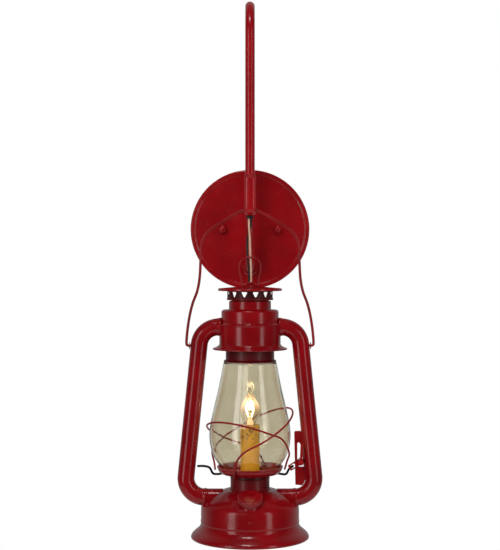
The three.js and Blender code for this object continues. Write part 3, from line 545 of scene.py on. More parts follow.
# Darker red on the vent ring: painted shade cast by its cap.
cap_shade_enamel = enamel("cap_shaded_red_enamel", "#4A070B", "#260305", 0.4, 0.1)
black_wire = metal("blackened_steel_wire", "#3A2A28", "#241A19", 0.38)
zinc = metal("zinc_plated_steel", "#B9BCBE", "#92969A", 0.3)
brass = metal("plain_brass", "#C79A45", "#9C7430", 0.26)
green_screw = enamel("green_screw_lacquer", "#2F7D45", "#235E34", 0.3, 0.2)
globe_glass = blown_glass("clear_blown_glass", "#ECE6D4", "#E5DFCA", 0.5)
FILAMENT_RISE = 20
FILAMENT_HALF = 4.5
filament_centre = from_base((0, 0, top_of("bulb_base") + FILAMENT_RISE)) * MM
bulb_glass = lit_glass("thin_bulb_glass", "#FBF6EA", "#F6EEDC", tuple(filament_centre))
amber = candle_wax("amber_candle_plastic")
phenolic = plastic("black_phenolic", "#1A1613", "#0E0C0B", 0.42)
rubber = plastic("black_rubber", "#1C1C1C", "#121212", 0.7)
black_lead = plastic("black_insulation", "#231A14", "#120D0A", 0.45, 0.5)
cream_lead = plastic("cream_insulation", "#E3B79F", "#C99A80", 0.45, 0.5)
filament_glow = glowing_wire("lit_filament")
stem_glass = warm_stem("lit_glass_stem")


def finish(piece, material, body, slot, *nodes):
    """Gives a piece its material and its body, and hides the CAD nodes it stands for. The slot argument is not used.
    """
    piece.data.materials.clear()
    piece.data.materials.append(material)
    if body:
        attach(piece, body)
    if nodes:
        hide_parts(*nodes)
    return piece


# ------------------------------------------------------------------- leads
LEAD_DIAMETER = 2
lead_routes = {
    "lead_black": [
        (1.1, 0.2, 320.6), (1.1, 0.2, 317.5), (1.0, 0.4, 314), (0.7, 1.0, 310.5), (0, 1.4, 307.5),
        (-0.9, 1.5, 304.5), (-1.8, 1.3, 301), (-2.5, 0.9, 296.5), (-2.8, 0.6, 291), (-2.7, 0.4, 285),
        (-2.3, 0.3, 279), (-1.8, 0.2, 273), (-1.4, 0, 267), (-1.2, 0, 261), (-1.1, 0, 256), (-1.1, 0, 251),
    ],
    "lead_cream": [
        (-1.1, -0.2, 320.6), (-1.1, -0.2, 317.5), (-1.1, -0.4, 314), (-1.0, -0.9, 310.5), (-0.8, -1.2, 307.5),
        (-0.6, -1.3, 304.5), (-0.4, -1.1, 301), (-0.2, -0.8, 296.5), (0, -0.5, 291), (0.2, -0.3, 285),
        (0.5, -0.2, 279), (0.8, -0.1, 273), (1.0, 0, 267), (1.1, 0, 261), (1.1, 0, 256), (1.1, 0, 251),
    ],
}
for name, insulation in (("lead_black", black_lead), ("lead_cream", cream_lead)):
    route = from_base(spline(lead_routes[name], 120))
    lead = swept(f"{name}_wire", route, LEAD_DIAMETER / 2, sides=20)
    finish(lead, insulation, None, name, name)
    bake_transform(lead)

# -------------------------------------------------------------- wall plate
plate_r = radius_of("wall_plate")
plate_depth = -low("wall_plate", 1)
plate_face = plate_depth - 1
SHEET = 1.2
plate = turned("pressed_wall_plate", outline([
    (0, plate_face - SHEET, 0), (plate_r - 6, plate_face - SHEET, 1), (plate_r - 4.2, plate_depth - SHEET, 1),
    (plate_r - SHEET, plate_depth - SHEET, 1.6), (plate_r - SHEET, 0, 0.3), (plate_r, 0, 0.3),
    (plate_r, plate_depth, 2.6), (plate_r - 3.6, plate_depth, 1.4), (plate_r - 5.6, plate_face, 1.6),
    (0, plate_face, 0),
]), at=(0, 0, 0), facets=256, face_out=True)
finish(plate, red_enamel, "wall_arm", "red_enamel", "wall_plate")

for side in ("left", "right"):
    node = f"ball_nut_{side}"
    ball_r = radius_of(node)
    centre_x = (low(node, 0) + high(node, 0)) / 2
    back, front = -high(node, 1), -low(node, 1)
    centre = front - ball_r
    arc = [(ball_r * math.cos(a), centre + ball_r * math.sin(a)) for a in np.linspace(-0.8, math.pi / 2, 28)[:-1]]
    knob = turned(f"ball_nut_{side}_knob", [
        (0, back), (ball_r * 0.72, back), (ball_r * 0.76, back + 0.2), (ball_r * 0.76, back + 0.7),
        (ball_r * 0.68, back + 0.9), *arc, (0, front),
    ], at=(centre_x, 0, 0), facets=64, face_out=True)
    finish(knob, red_enamel, node, "red_enamel", node)

# --------------------------------------------------------- arm and its hook
ARM_R = 4.75
STEM_Y = -50
FOOT_BEND = 14
arm_z = (low("arm_collar", 2) + high("arm_collar", 2)) / 2
crest_z = high("arm_tube", 2) - ARM_R
leg_y = low("arm_tube", 1) + ARM_R
hook_top = high("bail_hook", 2)
hook_back = high("bail_hook", 1)
HOOK_THICK = 5.6
hook_tail_y = hook_back - HOOK_THICK / 2
hook_floor = low("bail_hook", 2) + HOOK_THICK / 2
tail_top = hook_floor + 7 + 14
arch_r = (STEM_Y - leg_y) / 2

arm_path = filleted([
    (0, -6, arm_z), (0, STEM_Y, arm_z), (0, STEM_Y, crest_z), (0, leg_y, crest_z), (0, leg_y, hook_top + 2.5),
], [FOOT_BEND, arch_r, arch_r - 0.01], 40)
swage = np.array([(0, leg_y, z) for z in np.linspace(hook_top + 2, hook_top - 3, 24)])
hook_path = filleted([
    (0, leg_y, hook_top - 3.5), (0, leg_y, hook_floor), (0, hook_tail_y, hook_floor), (0, hook_tail_y, tail_top),
], [6.99, 6.99], 24)
centre_line = np.vstack([arm_path, swage, hook_path])
flatness = np.concatenate([np.zeros(len(arm_path)), np.linspace(0, 1, len(swage)), np.ones(len(hook_path))])
flatness = flatness * flatness * (3 - 2 * flatness)
hook_half_width = radius_of("bail_hook")
arm = swept("gooseneck_arm_tube", centre_line, ARM_R + (hook_half_width - ARM_R) * flatness,
            ARM_R + (HOOK_THICK / 2 - ARM_R) * flatness, sides=64)
finish(arm, red_enamel, "wall_arm", "red_enamel", "arm_tube", "bail_hook")
# The tail is an open tube: a thin black disc just inside its top is painted shade for its dark bore.
bore_shade = swept("hook_tail_bore_shade", [(0, hook_tail_y, tail_top - 0.02), (0, hook_tail_y, tail_top + 0.04)],
             hook_half_width - 1.1, HOOK_THICK / 2 - 1.1, sides=48)
finish(bore_shade, phenolic, "wall_arm", "socket_black")

collar_r = radius_of("arm_collar")
collar_back, collar_front = -high("arm_collar", 1), -low("arm_collar", 1)
collar = turned("arm_collar_ring", outline([
    (ARM_R + 0.1, collar_back, 0), (collar_r, collar_back, 0.3), (collar_r, collar_back + 2.4, 0.8),
    (collar_r - 1.6, collar_front - 0.6, 1), (ARM_R + 0.8, collar_front, 0.6), (ARM_R + 0.1, collar_front - 0.8, 0.2),
    (ARM_R + 0.1, collar_back, 0),
]), at=(0, 0, arm_z), facets=72, face_out=True)
finish(collar, red_enamel, "wall_arm", "shaded_enamel", "arm_collar")

# -------------------------------------------------------------------- tank
base_r = radius_of("tank_shell")
TANK_R = 49
WALL_TOP = 29
neck_foot = foot_of("burner_neck")
neck_r = radius_of("burner_neck")
skirt = spline([
    (base_r, 1.5), (base_r - 0.9, 3.5), (base_r - 3.8, 6.4), (TANK_R + 2.5, 9.5), (TANK_R + 0.6, 12.4),
    (TANK_R, 15.2),
], 40)
dome = spline([
    (TANK_R, WALL_TOP - 2), (TANK_R - 0.4, WALL_TOP + 2.4), (TANK_R - 2.2, WALL_TOP + 6),
    (TANK_R - 6.2, WALL_TOP + 9.5), (TANK_R - 13, WALL_TOP + 14), (TANK_R - 21, WALL_TOP + 17.6),
    (neck_r + 2, neck_foot - 0.7), (neck_r - 3, neck_foot - 0.5),
], 70)
inside = [(r - SHEET, z - SHEET * 0.8) for r, z in np.vstack([skirt[6:], dome[:-6]])[::-1]]
tank = turned("fuel_tank", np.vstack([
    [(base_r - 1.6, 0.1), (base_r - 0.8, 0), (base_r - 0.2, 0.5)], skirt,
    [(TANK_R + 0.35, 16.4), (TANK_R + 0.35, 17.2), (TANK_R, 18.2)], dome,
    [(neck_r - 3, neck_foot - 1.8)], inside, [(base_r - 1.9, 0.6), (base_r - 1.6, 0.1)],
]), at=LANTERN_AXIS, facets=224)
finish(tank, lantern_shaded_enamel, "lantern", "red_enamel", "tank_shell")

neck_top = top_of("burner_neck")
STEM_R = 5
neck = turned("burner_neck_cup", outline([
    (neck_r - SHEET, neck_foot - 0.6, 0), (neck_r + 0.9, neck_foot - 0.6, 0.3), (neck_r, neck_foot + 1.2, 0.6),
    (neck_r, neck_top - 3.6, 0.3), (neck_r + 0.45, neck_top - 3, 0.3), (neck_r, neck_top - 2.4, 0.3),
    (neck_r, neck_top, 0.9), (STEM_R + 0.3, neck_top, 0.2), (STEM_R + 0.3, neck_top - SHEET, 0.2),
    (neck_r - SHEET, neck_top - SHEET, 0.4), (neck_r - SHEET, neck_foot - 0.6, 0),
]), at=LANTERN_AXIS, facets=144)
hole_foot = BASE_Z + neck_top - 3.9
# The neck's red is darker than the lantern's as painted shade under the globe plate.
finish(neck, perforated_enamel("perforated_neck_shaded_enamel", "#72070E", "#5A050A", hole_foot, hole_foot + 3.4, 30),
       "lantern", "shaded_enamel", "burner_neck")

# ----------------------------------------------------- candle, socket, bulb
candle_r = radius_of("candle_sleeve")
candle_foot = foot_of("candle_sleeve")
candle_top = top_of("candle_sleeve")
drips = [(0.4, 15, 1.5), (1.25, 24, 1.2), (2.0, 11, 1.6), (2.75, 19, 1.3), (3.5, 13, 1.5), (4.1, 22, 1.1),
         (4.62, 9, 1.7), (5.15, 17, 1.4), (5.7, 26, 1.2)]


def wax_runs(angle, radius, height):
    """Drips of wax: each is a rounded ridge 0.7 mm proud, round its own angle, ending in a fuller drop."""
    proud = np.zeros(np.broadcast(angle, radius).shape)
    outside = (radius > candle_r - 0.4).astype(float)
    for middle, run, width in drips:
        off = (np.angle(np.exp(1j * (angle - middle)))) * candle_r
        end = candle_top - run
        ridge = np.exp(-(off / width) ** 2)
        length = 1 / (1 + np.exp(-(height - end) / 0.5))
        drop = 0.5 * np.exp(-((height - end - 1.2) ** 2 + off ** 2) / 1.8)
        proud = np.maximum(proud, 0.55 * ridge * length + drop)
    lip = 0.35 * np.exp(-((height - candle_top + 1.5) / 1.4) ** 2)
    return (proud + lip) * outside


candle_wall = [(candle_r, z) for z in np.linspace(candle_foot + 0.3, candle_top - 0.8, 120)]
candle = turned("dripping_candle_sleeve", [
    (candle_r - 1, candle_foot), (candle_r - 0.3, candle_foot), *candle_wall, (candle_r - 0.3, candle_top - 0.1),
    (candle_r - 0.7, candle_top), (candle_r - 1, candle_top - 0.3), (candle_r - 1, candle_foot),
], at=LANTERN_AXIS, facets=160, wave=wax_runs)
finish(candle, amber, "lantern", "candle_amber", "candle_sleeve")

socket_top = top_of("lamp_socket")
bulb_foot = foot_of("bulb_base")
bulb_neck = top_of("bulb_base")
base_radius = radius_of("bulb_base")
THREAD_PITCH = 1.9


def thread(angle, radius, height):
    """A rolled screw thread: the radius rises and falls once for each pitch of height and each turn."""
    on_shell = (radius > base_radius - 0.3).astype(float)
    return -0.35 * on_shell * (0.5 + 0.5 * np.cos(2 * math.pi * height / THREAD_PITCH - angle))


shell_wall = [(base_radius, z) for z in np.linspace(bulb_foot + 5, bulb_neck - 0.4, 80)]
bulb_shell = turned("bulb_screw_shell", [
    (0, bulb_foot), (2, bulb_foot + 0.2), (2.4, bulb_foot + 1.2), (base_radius - 0.8, bulb_foot + 4),
    *shell_wall, (base_radius - 0.5, bulb_neck), (0, bulb_neck),
], at=LANTERN_AXIS, facets=72, wave=thread)
finish(bulb_shell, brass, "bulb", "brass", "bulb_base")

bulb_r = radius_of("bulb_glass")
bulb_tip = top_of("bulb_glass")
bulb_rise = bulb_tip - bulb_neck
flame = spline([
    (base_radius - 0.8, bulb_neck + 0.3), (base_radius - 0.2, bulb_neck + 0.065 * bulb_rise),
    (bulb_r - 2.1, bulb_neck + 0.183 * bulb_rise), (bulb_r, bulb_neck + 0.339 * bulb_rise),
    (bulb_r - 1.2, bulb_neck + 0.496 * bulb_rise), (bulb_r - 4.6, bulb_neck + 0.679 * bulb_rise),
    (bulb_r - 7.6, bulb_neck + 0.836 * bulb_rise), (bulb_r - 9.1, bulb_neck + 0.961 * bulb_rise),
], 72)
BULB_WALL = 0.6
flame_inside = [(max(r - BULB_WALL, 0.25), z) for r, z in flame[-5::-1]]
envelope = turned("flame_tip_bulb", np.vstack([
    [(0, flame[-5][1] - 0.5)], flame_inside, flame, [(0.7, bulb_tip - 0.3), (0, bulb_tip)],
]), at=LANTERN_AXIS, facets=96)
finish(envelope, bulb_glass, "bulb", "clear_glass", "bulb_glass")
envelope.visible_shadow = False

FILAMENT_R = 0.42
fold_low = bulb_neck + FILAMENT_RISE - FILAMENT_HALF
fold_high = bulb_neck + FILAMENT_RISE + FILAMENT_HALF - 2
folds = []
for k, x in enumerate(np.linspace(-3.6, 3.6, 7)):
    lift = 2.4 * (1 - abs(x) / 3.6)
    folds.append((x, 0.5 * (-1) ** k, (fold_high + lift) if k % 2 else fold_low))
coil = swept("lit_filament_coil", from_base(spline([
    (-1.4, 0, bulb_neck + 8), (-2.6, 0, fold_low - 3), *folds, (2.6, 0, fold_low - 3), (1.4, 0, bulb_neck + 8),
], 160)), FILAMENT_R, sides=10, domed=True)
finish(coil, filament_glow, "bulb", "filament", "bulb_filament")
stem = turned("bulb_glass_stem", spline([
    (0, bulb_neck + 0.6), (3.2, bulb_neck + 0.7), (3.6, bulb_neck + 2), (2.6, bulb_neck + 5), (1.7, bulb_neck + 7.6),
    (1.9, bulb_neck + 8.6), (0, bulb_neck + 9.4),
], 36), at=LANTERN_AXIS, facets=48)
finish(stem, stem_glass, "bulb", "clear_glass")

# ------------------------------------------------------------------- filler
FILLER_TILT = math.radians(24)
FILLER_Y, FILLER_Z = -(TANK_R - 11.5), WALL_TOP + 9


def on_dome(points):
    """Points about the filler's own axis, tilted forward and set on the tank's dome."""
    x, y, z = np.moveaxis(np.asarray(points, float), -1, 0)
    c, s = math.cos(FILLER_TILT), math.sin(FILLER_TILT)
    return from_base(np.stack([x, c * y - s * z + FILLER_Y, s * y + c * z + FILLER_Z], -1))


FILLER_R = 12
CAP_SKIRT = 5.6
CAP_TOP = 11.2
KNURLS = 40


def knurled(angle, radius, height):
    """Grip ribs: the skirt's radius follows a cosine round the cap."""
    on_skirt = (radius > FILLER_R - 0.4) * (height > CAP_SKIRT + 0.5) * (height < CAP_TOP - 2.2)
    return on_skirt * 0.28 * np.cos(KNURLS * angle)


skirt_wall = [(FILLER_R, z) for z in np.linspace(CAP_SKIRT + 0.6, CAP_TOP - 2.1, 14)]
filler_cap = turned("knurled_filler_cap", [
    (0, CAP_TOP - 2.2), (FILLER_R - 2.2, CAP_TOP - 2.2), (FILLER_R - 2, CAP_SKIRT + 0.3), (FILLER_R - 1.6, CAP_SKIRT),
    (FILLER_R - 0.4, CAP_SKIRT + 0.1), *skirt_wall, (FILLER_R + 0.3, CAP_TOP - 1.6), (FILLER_R + 0.1, CAP_TOP - 0.9),
    (FILLER_R - 0.7, CAP_TOP - 0.5), (FILLER_R - 2.4, CAP_TOP - 0.5), (FILLER_R - 3.2, CAP_TOP - 0.9),
    (5.5, CAP_TOP - 0.9), (4, CAP_TOP - 0.2), (2, CAP_TOP), (0, CAP_TOP),
], facets=240, wave=knurled, move=on_dome)
finish(filler_cap, lantern_shaded_enamel, "filler_cap", "red_enamel", "filler_cap")
filler_neck = turned("filler_neck_pipe", outline([
    (FILLER_R - 3.6, 0, 0), (FILLER_R - 1, 0, 0.6), (FILLER_R - 2.4, 2.6, 1), (FILLER_R - 2.4, 7.4, 0.3),
    (FILLER_R - 3.6, 7.4, 0.3), (FILLER_R - 3.6, 0, 0),
]), facets=96, move=on_dome)
finish(filler_neck, lantern_shaded_enamel, "lantern", "red_enamel", "filler_neck")

# ---------------------------------------------------------- crown and tubes
flange_r = radius_of("crown")
crown_r = flange_r - 6.6
crown_foot = foot_of("crown")
collar_top = top_of("crown")
crown_roof = collar_top - 8.6
crown_step = crown_roof - 15.4
COLLAR_R = 21
crown = turned("pressed_crown", outline([
    (COLLAR_R - SHEET, collar_top, 0), (COLLAR_R - 0.4, collar_top, 0.2), (COLLAR_R, collar_top - 0.5, 0.3),
    (COLLAR_R, crown_roof, 1.2), (crown_r - 2, crown_roof, 2.6), (crown_r - 2, crown_step + 2, 1),
    (crown_r + 0.5, crown_step + 1, 0.8), (crown_r, crown_step - 1, 0.7), (crown_r, crown_foot + 4.6, 2.6),
    (flange_r - 2, crown_foot + 1.7, 1), (flange_r, crown_foot + 1.5, 0.8), (flange_r, crown_foot, 0.7),
    (flange_r - 2.6, crown_foot, 0.6), (crown_r - SHEET, crown_foot + 3, 2), (crown_r - SHEET, crown_step - 1, 0.6),
    (crown_r - SHEET - 2, crown_step + 1, 0.6), (crown_r - SHEET - 2, crown_roof - SHEET, 1.4),
    (COLLAR_R - SHEET, crown_roof - SHEET, 0.6), (COLLAR_R - SHEET, collar_top, 0),
], 7), at=LANTERN_AXIS, facets=224)
finish(crown, lantern_shaded_enamel, "lantern", "red_enamel", "crown")

TUBE_R = 8.5
TUBE_TOP_Z = 210
TUBE_LOW_Z = 40
TUBE_TOP_X = 49
TUBE_LOW_X = 66
TUBE_BEND = 19
for side, sign in (("left", -1), ("right", 1)):
    line = filleted([
        (sign * (crown_r - 2), 0, TUBE_TOP_Z), (sign * TUBE_TOP_X, 0, TUBE_TOP_Z),
        (sign * TUBE_LOW_X, 0, TUBE_LOW_Z), (sign * (TANK_R - 22), 0, TUBE_LOW_Z),
    ], [TUBE_BEND, TUBE_BEND], 36)
    fine = []
    for a, b in zip(line, line[1:]):
        pieces = max(1, int(np.linalg.norm(b - a) / 1.5))
        fine += [a + (b - a) * k / pieces for k in range(pieces)]
    fine = np.array(fine + [line[-1]])
    reach = np.abs(fine[:, 0])
    flare = 0.9 * np.exp(-np.maximum(reach - crown_r, 0) / 1.4) * (fine[:, 2] > 120)
    flare += 0.7 * np.exp(-((reach - TANK_R + 4) / 1.6) ** 2) * (fine[:, 2] < 120)
    tube = swept(f"side_tube_{side}_pipe", from_base(fine), TUBE_R + flare, sides=64, side=(0, 1, 0))
    finish(tube, lantern_shaded_enamel, "lantern", "red_enamel", f"side_tube_{side}")

# The lever's bracket is soldered to the right tube along its inner side.
slant = unit(np.array([TUBE_LOW_X - TUBE_TOP_X, 0.0, TUBE_LOW_Z - TUBE_TOP_Z]))
inner_side = np.array([slant[2], 0.0, -slant[0]])
seam = []
for z in np.linspace(top_of("lever_bracket") - 0.6, foot_of("lever_bracket") + 0.6, 60):
    middle = np.array([TUBE_TOP_X + (TUBE_TOP_Z - z) * slant[0] / -slant[2], 0.0, z])
    seam.append(middle + inner_side * (TUBE_R + 0.05))
solder = swept("bracket_solder_seam", from_base(seam), 0.75, sides=14, domed=True, side=(0, 1, 0))
finish(solder, lantern_shaded_enamel, "lantern", "red_enamel")

# --------------------------------------------------------------------- bail
BAIL_WIRE_R = 1.35
pivot_z = (foot_of("bail_ear_left") + top_of("bail_ear_left")) / 2
apex_z = top_of("bail") - BAIL_WIRE_R
bail_rise = apex_z - pivot_z
foot_x = high("bail_ear_right", 0) + BAIL_WIRE_R + 1.1
bail_foot = [(-7.5, 0), (-4.5, 0), (-1.8, 0), (-0.3, 0.7), (0.1, 2.6)]
bail_side = [
    (0, 0.044), (1.2, 0.133), (3.4, 0.232), (6.2, 0.313), (10.6, 0.401), (12.9, 0.49), (13.9, 0.608),
    (14.3, 0.711), (16, 0.777), (20.4, 0.832), (32, 0.895), (54, 0.987),
]
bail_half = [(foot_x + x, pivot_z + z) for x, z in bail_foot]
bail_half += [(foot_x - x, pivot_z + share * bail_rise) for x, share in bail_side]
bail = swept("bail_wire", from_base(spline(both_halves(bail_half, apex_z), 420)), BAIL_WIRE_R, sides=20, domed=True,
             side=(0, 1, 0))
finish(bail, wire_enamel, "bail", "red_enamel", "bail")

# ---------------------------------------------------------- globe and guard
globe_foot = foot_of("globe")
globe_top = top_of("globe")
globe_r = radius_of("globe")
GLOBE_FOOT_R = 28.8
GLOBE_TOP_R = 26.5
GLOBE_WALL = 1.8
belly_z = globe_foot + 34.3
to_belly = [(0, 0), (0.17, 0.184), (0.593, 0.417), (0.864, 0.665), (1, 1)]
to_top = [(0.064, 0.173), (0.326, 0.4), (0.66, 0.667), (1, 1)]
globe_knots = [
    (GLOBE_FOOT_R + w * (globe_r - GLOBE_FOOT_R), globe_foot + h * (belly_z - globe_foot)) for w, h in to_belly
] + [
    (globe_r + w * (GLOBE_TOP_R - globe_r), belly_z + h * (globe_top - belly_z)) for w, h in to_top
]
glass_line = spline(globe_knots, 96)
glass_line[-1][1] -= 0.5
glass_inside = [(r - GLOBE_WALL, z) for r, z in glass_line[::-1]]
globe = turned("glass_globe", np.vstack([
    glass_line, [(GLOBE_TOP_R - 0.9, globe_top)], glass_inside,
    [(GLOBE_FOOT_R - 0.9, globe_foot - 0.4), glass_line[0]],
]), at=LANTERN_AXIS, facets=176)
finish(globe, globe_glass, "globe_carriage", "clear_glass", "globe")
globe.visible_shadow = False

dish_r = radius_of("globe_plate")
dish_z = foot_of("globe_plate")
DISH_HOLE = 14
dish = turned("globe_plate_dish", outline([
    (DISH_HOLE, dish_z, 0), (dish_r - 4, dish_z, 2), (dish_r - 1.4, dish_z + 3, 2), (dish_r - 0.6, dish_z + 5.6, 0.6),
    (dish_r, dish_z + 6, 0.5), (dish_r, dish_z + 7.2, 0.6), (dish_r - 1.6, dish_z + 7.2, 0.5),
    (dish_r - 2.3, dish_z + 4.4, 1), (dish_r - 4, dish_z + SHEET, 1.6), (DISH_HOLE, dish_z + SHEET, 0.2),
    (DISH_HOLE, dish_z, 0),
]), at=LANTERN_AXIS, facets=176)
finish(dish, lantern_shaded_enamel, "globe_carriage", "red_enamel", "globe_plate")


def globe_radius(z):
    """The globe's outside radius at a height, straight between the outline's knots."""
    return float(np.interp(z, [h for _, h in globe_knots], [r for r, _ in globe_knots]))


GUARD_WIRE_R = 0.95
GUARD_CLEARANCE = 1.9
GAP = 0.3
UNDER_DISH = -GUARD_WIRE_R - GAP


def guard_hoop(middle, lean_x, lean_y, turn, lift, start_drop, end_drop, hooked):
    """A hoop round the globe in a tilted plane, its ends dropping to the plate.

    Height above the plate: middle + lean_x cos(angle) + lean_y sin(angle).
    Drop points are (degrees, extra clearance, height); hooked points, under the
    rim, are (degrees, distance in from the rim, height).
    """
    def place(degrees, r, z):
        angle = math.radians(degrees)
        return (r * math.cos(angle), r * math.sin(angle), dish_z + z)

    def beside(degrees, extra, z):
        height = dish_z + z
        widest = max(globe_radius(height - GUARD_WIRE_R), globe_radius(height + GUARD_WIRE_R))
        clear = max(widest + GUARD_WIRE_R + GUARD_CLEARANCE, dish_r + GUARD_WIRE_R + GAP)
        return place(degrees, clear + extra, z)

    points = [beside(*p) for p in start_drop]
    for degrees in np.linspace(turn[0], turn[1], 13):
        angle = math.radians(degrees)
        points.append(beside(degrees, lift, middle + lean_x * math.cos(angle) + lean_y * math.sin(angle)))
    points += [beside(*p) for p in end_drop]
    points += [place(degrees, dish_r - inset, z) for degrees, inset, z in hooked]
    return from_base(spline(points, 360))


hoops = {
    "guard_hoop_low": guard_hoop(
        35.6, -11.4, -14.9, (-45, -264), GAP, [(2, 0.6, 4), (-4, 0.2, 12), (-20, 0, 22)],
        [(-286, 0.3, 13), (-294, 0.6, 6)],
        [(-297, -0.4, 0.4), (-298, 1.6, UNDER_DISH - 0.1), (-299, 3.2, UNDER_DISH - 0.3)]),
    "guard_hoop_high": guard_hoop(
        38.5, 23.2, 8.7, (146, -96), 2 * GUARD_WIRE_R + 0.7, [(180, 0.6, 4), (174, 0.5, 10), (162, 0.3, 18)],
        [(-107, 0.9, 19), (-114, 2, 10)],
        [(-117, -0.6, 0.6), (-118, 1.6, UNDER_DISH - 0.1), (-119, 8, UNDER_DISH - 0.4)]),
}
for node, line in hoops.items():
    hoop = swept(f"{node}_wire", line, GUARD_WIRE_R, sides=16, domed=True, side=(0, 0, 1))
    finish(hoop, wire_enamel, "globe_carriage", "red_enamel", node)

LIFT_WIRE_R = 1.15
LEVER_ARM = 8.2
lever_x = (low("lever_rivet", 0) + high("lever_rivet", 0)) / 2
lever_z = (foot_of("lever_rivet") + top_of("lever_rivet")) / 2
crank_x = lever_x - LEVER_ARM
crank_z = lever_z - 5
low_run = dish_z - LIFT_WIRE_R - GAP - 0.2
behind = neck_r + LIFT_WIRE_R + 2
wire_end = -low("lift_wire", 0)
lift_line = from_base(spline([
    (LIFT_WIRE_R - wire_end, 0, crank_z), (7 - wire_end, 0, crank_z), (-dish_r - 7.5, 0, crank_z - 1.6),
    (-dish_r - 4, 1, low_run + 1.2), (-dish_r, 4, low_run), (-24, 13, low_run), (-12, behind - 2.4, low_run),
    (0, behind, low_run), (12, behind - 2.4, low_run), (24, 13, low_run), (dish_r - 1, 4, low_run),
    (dish_r + 3, 1, low_run + 0.6), (crank_x - 2.8, 0, crank_z - 2.4), (crank_x, 0, crank_z),
    (crank_x + 0.3, -1.2, crank_z + 0.1), (crank_x, -4.6, crank_z),
], 300))
lift = swept("lift_wire_rod", lift_line, LIFT_WIRE_R, sides=16, domed=True, side=(0, 0, 1))
finish(lift, black_wire, "globe_carriage", "black_wire", "lift_wire")

# ------------------------------------------------------ chimney, vents, cap
bell_foot = foot_of("chimney_tube")
bell_rim_r = radius_of("chimney_tube")
bell_r = bell_rim_r - 2.1
PIPE_R = COLLAR_R - SHEET - 1
vent_foot = foot_of("vent_ring")
vent_top = top_of("vent_ring")
pipe = turned("chimney_bell", outline([
    (bell_r - SHEET, bell_foot, 0), (bell_rim_r, bell_foot, 0.4), (bell_rim_r, bell_foot + 1.3, 0.5),
    (bell_r, bell_foot + 2.4, 0.6), (bell_r, bell_foot + 14.7, 3), (PIPE_R, bell_foot + 24.7, 3),
    (PIPE_R, vent_foot + 1.8, 0.3), (PIPE_R - SHEET, vent_foot + 1.8, 0.3), (PIPE_R - SHEET, bell_foot + 24.2, 3),
    (bell_r - SHEET, bell_foot + 14.2, 3), (bell_r - SHEET, bell_foot, 0),
]), at=LANTERN_AXIS, facets=176)
finish(pipe, shaded_enamel, "chimney", "shaded_enamel", "chimney_tube")

VENT_R = 22.7
VENT_COUNT = 12
open_low = vent_foot + 2.2
open_high = vent_top - 2


def vent_half_angle(z):
    """Half of a vent's width as an angle: it widens from 0.8 mm at its foot to 3.4 mm, rounding in at its top."""
    share = (z - open_low) / (open_high - open_low)
    half = 0.8 + 2.6 * min(share / 0.85, 1) - 0.9 * max(0, share - 0.85) / 0.15
    return half / VENT_R


def vent_posts():
    """The band between the vents: one closed post for each gap, from one vent's edge to the next one's."""
    points, faces = [], []
    heights = np.linspace(open_low - 0.4, open_high + 0.4, 22)
    columns = 12
    for k in range(VENT_COUNT):
        middle = 2 * math.pi * (k + 1) / VENT_COUNT + math.pi / 2
        start = len(points)
        around = 2 * (columns + 1)
        for z in heights:
            half = math.pi / VENT_COUNT - vent_half_angle(min(max(z, open_low), open_high))
            angles = middle + np.linspace(-half, half, columns + 1)
            ring = [(VENT_R * math.cos(a), VENT_R * math.sin(a), z) for a in angles]
            ring += [((VENT_R - 1) * math.cos(a), (VENT_R - 1) * math.sin(a), z) for a in angles[::-1]]
            points += ring
        for i in range(len(heights) - 1):
            for j in range(around):
                a = start + i * around + j
                b = start + i * around + (j + 1) % around
                faces.append([a, b, b + around, a + around])
        last = start + (len(heights) - 1) * around
        faces.append([start + j for j in range(around)][::-1])
        faces.append([last + j for j in range(around)])
    return from_base(points) * MM, faces


band_low = turned("vent_band_low", outline([
    (PIPE_R + 0.3, vent_foot, 0), (VENT_R + 0.5, vent_foot, 0.8), (VENT_R + 0.5, vent_foot + 1.6, 0.7),
    (VENT_R, open_low, 0.3), (VENT_R - 1, open_low, 0.2), (VENT_R - 1, vent_foot + SHEET, 0.4),
    (PIPE_R + 0.3, vent_foot + SHEET, 0), (PIPE_R + 0.3, vent_foot, 0),
]), at=LANTERN_AXIS, facets=144)
finish(band_low, shaded_enamel, "chimney", "shaded_enamel", "vent_ring")
# The band above the vents and the posts between them take the darker red of painted shade under the cap.
band_high = turned("vent_band_high", outline([
    (VENT_R - 1, open_high, 0), (VENT_R, open_high, 0.2), (VENT_R, vent_top, 0.2), (VENT_R - 1, vent_top, 0.2),
    (VENT_R - 1, open_high, 0),
]), at=LANTERN_AXIS, facets=144)
finish(band_high, cap_shade_enamel, "chimney", "shaded_enamel")
posts = mesh_object("vent_posts", *vent_posts())
posts.modifiers.new("even_normals", "WEIGHTED_NORMAL")
finish(posts, cap_shade_enamel, "chimney", "shaded_enamel")

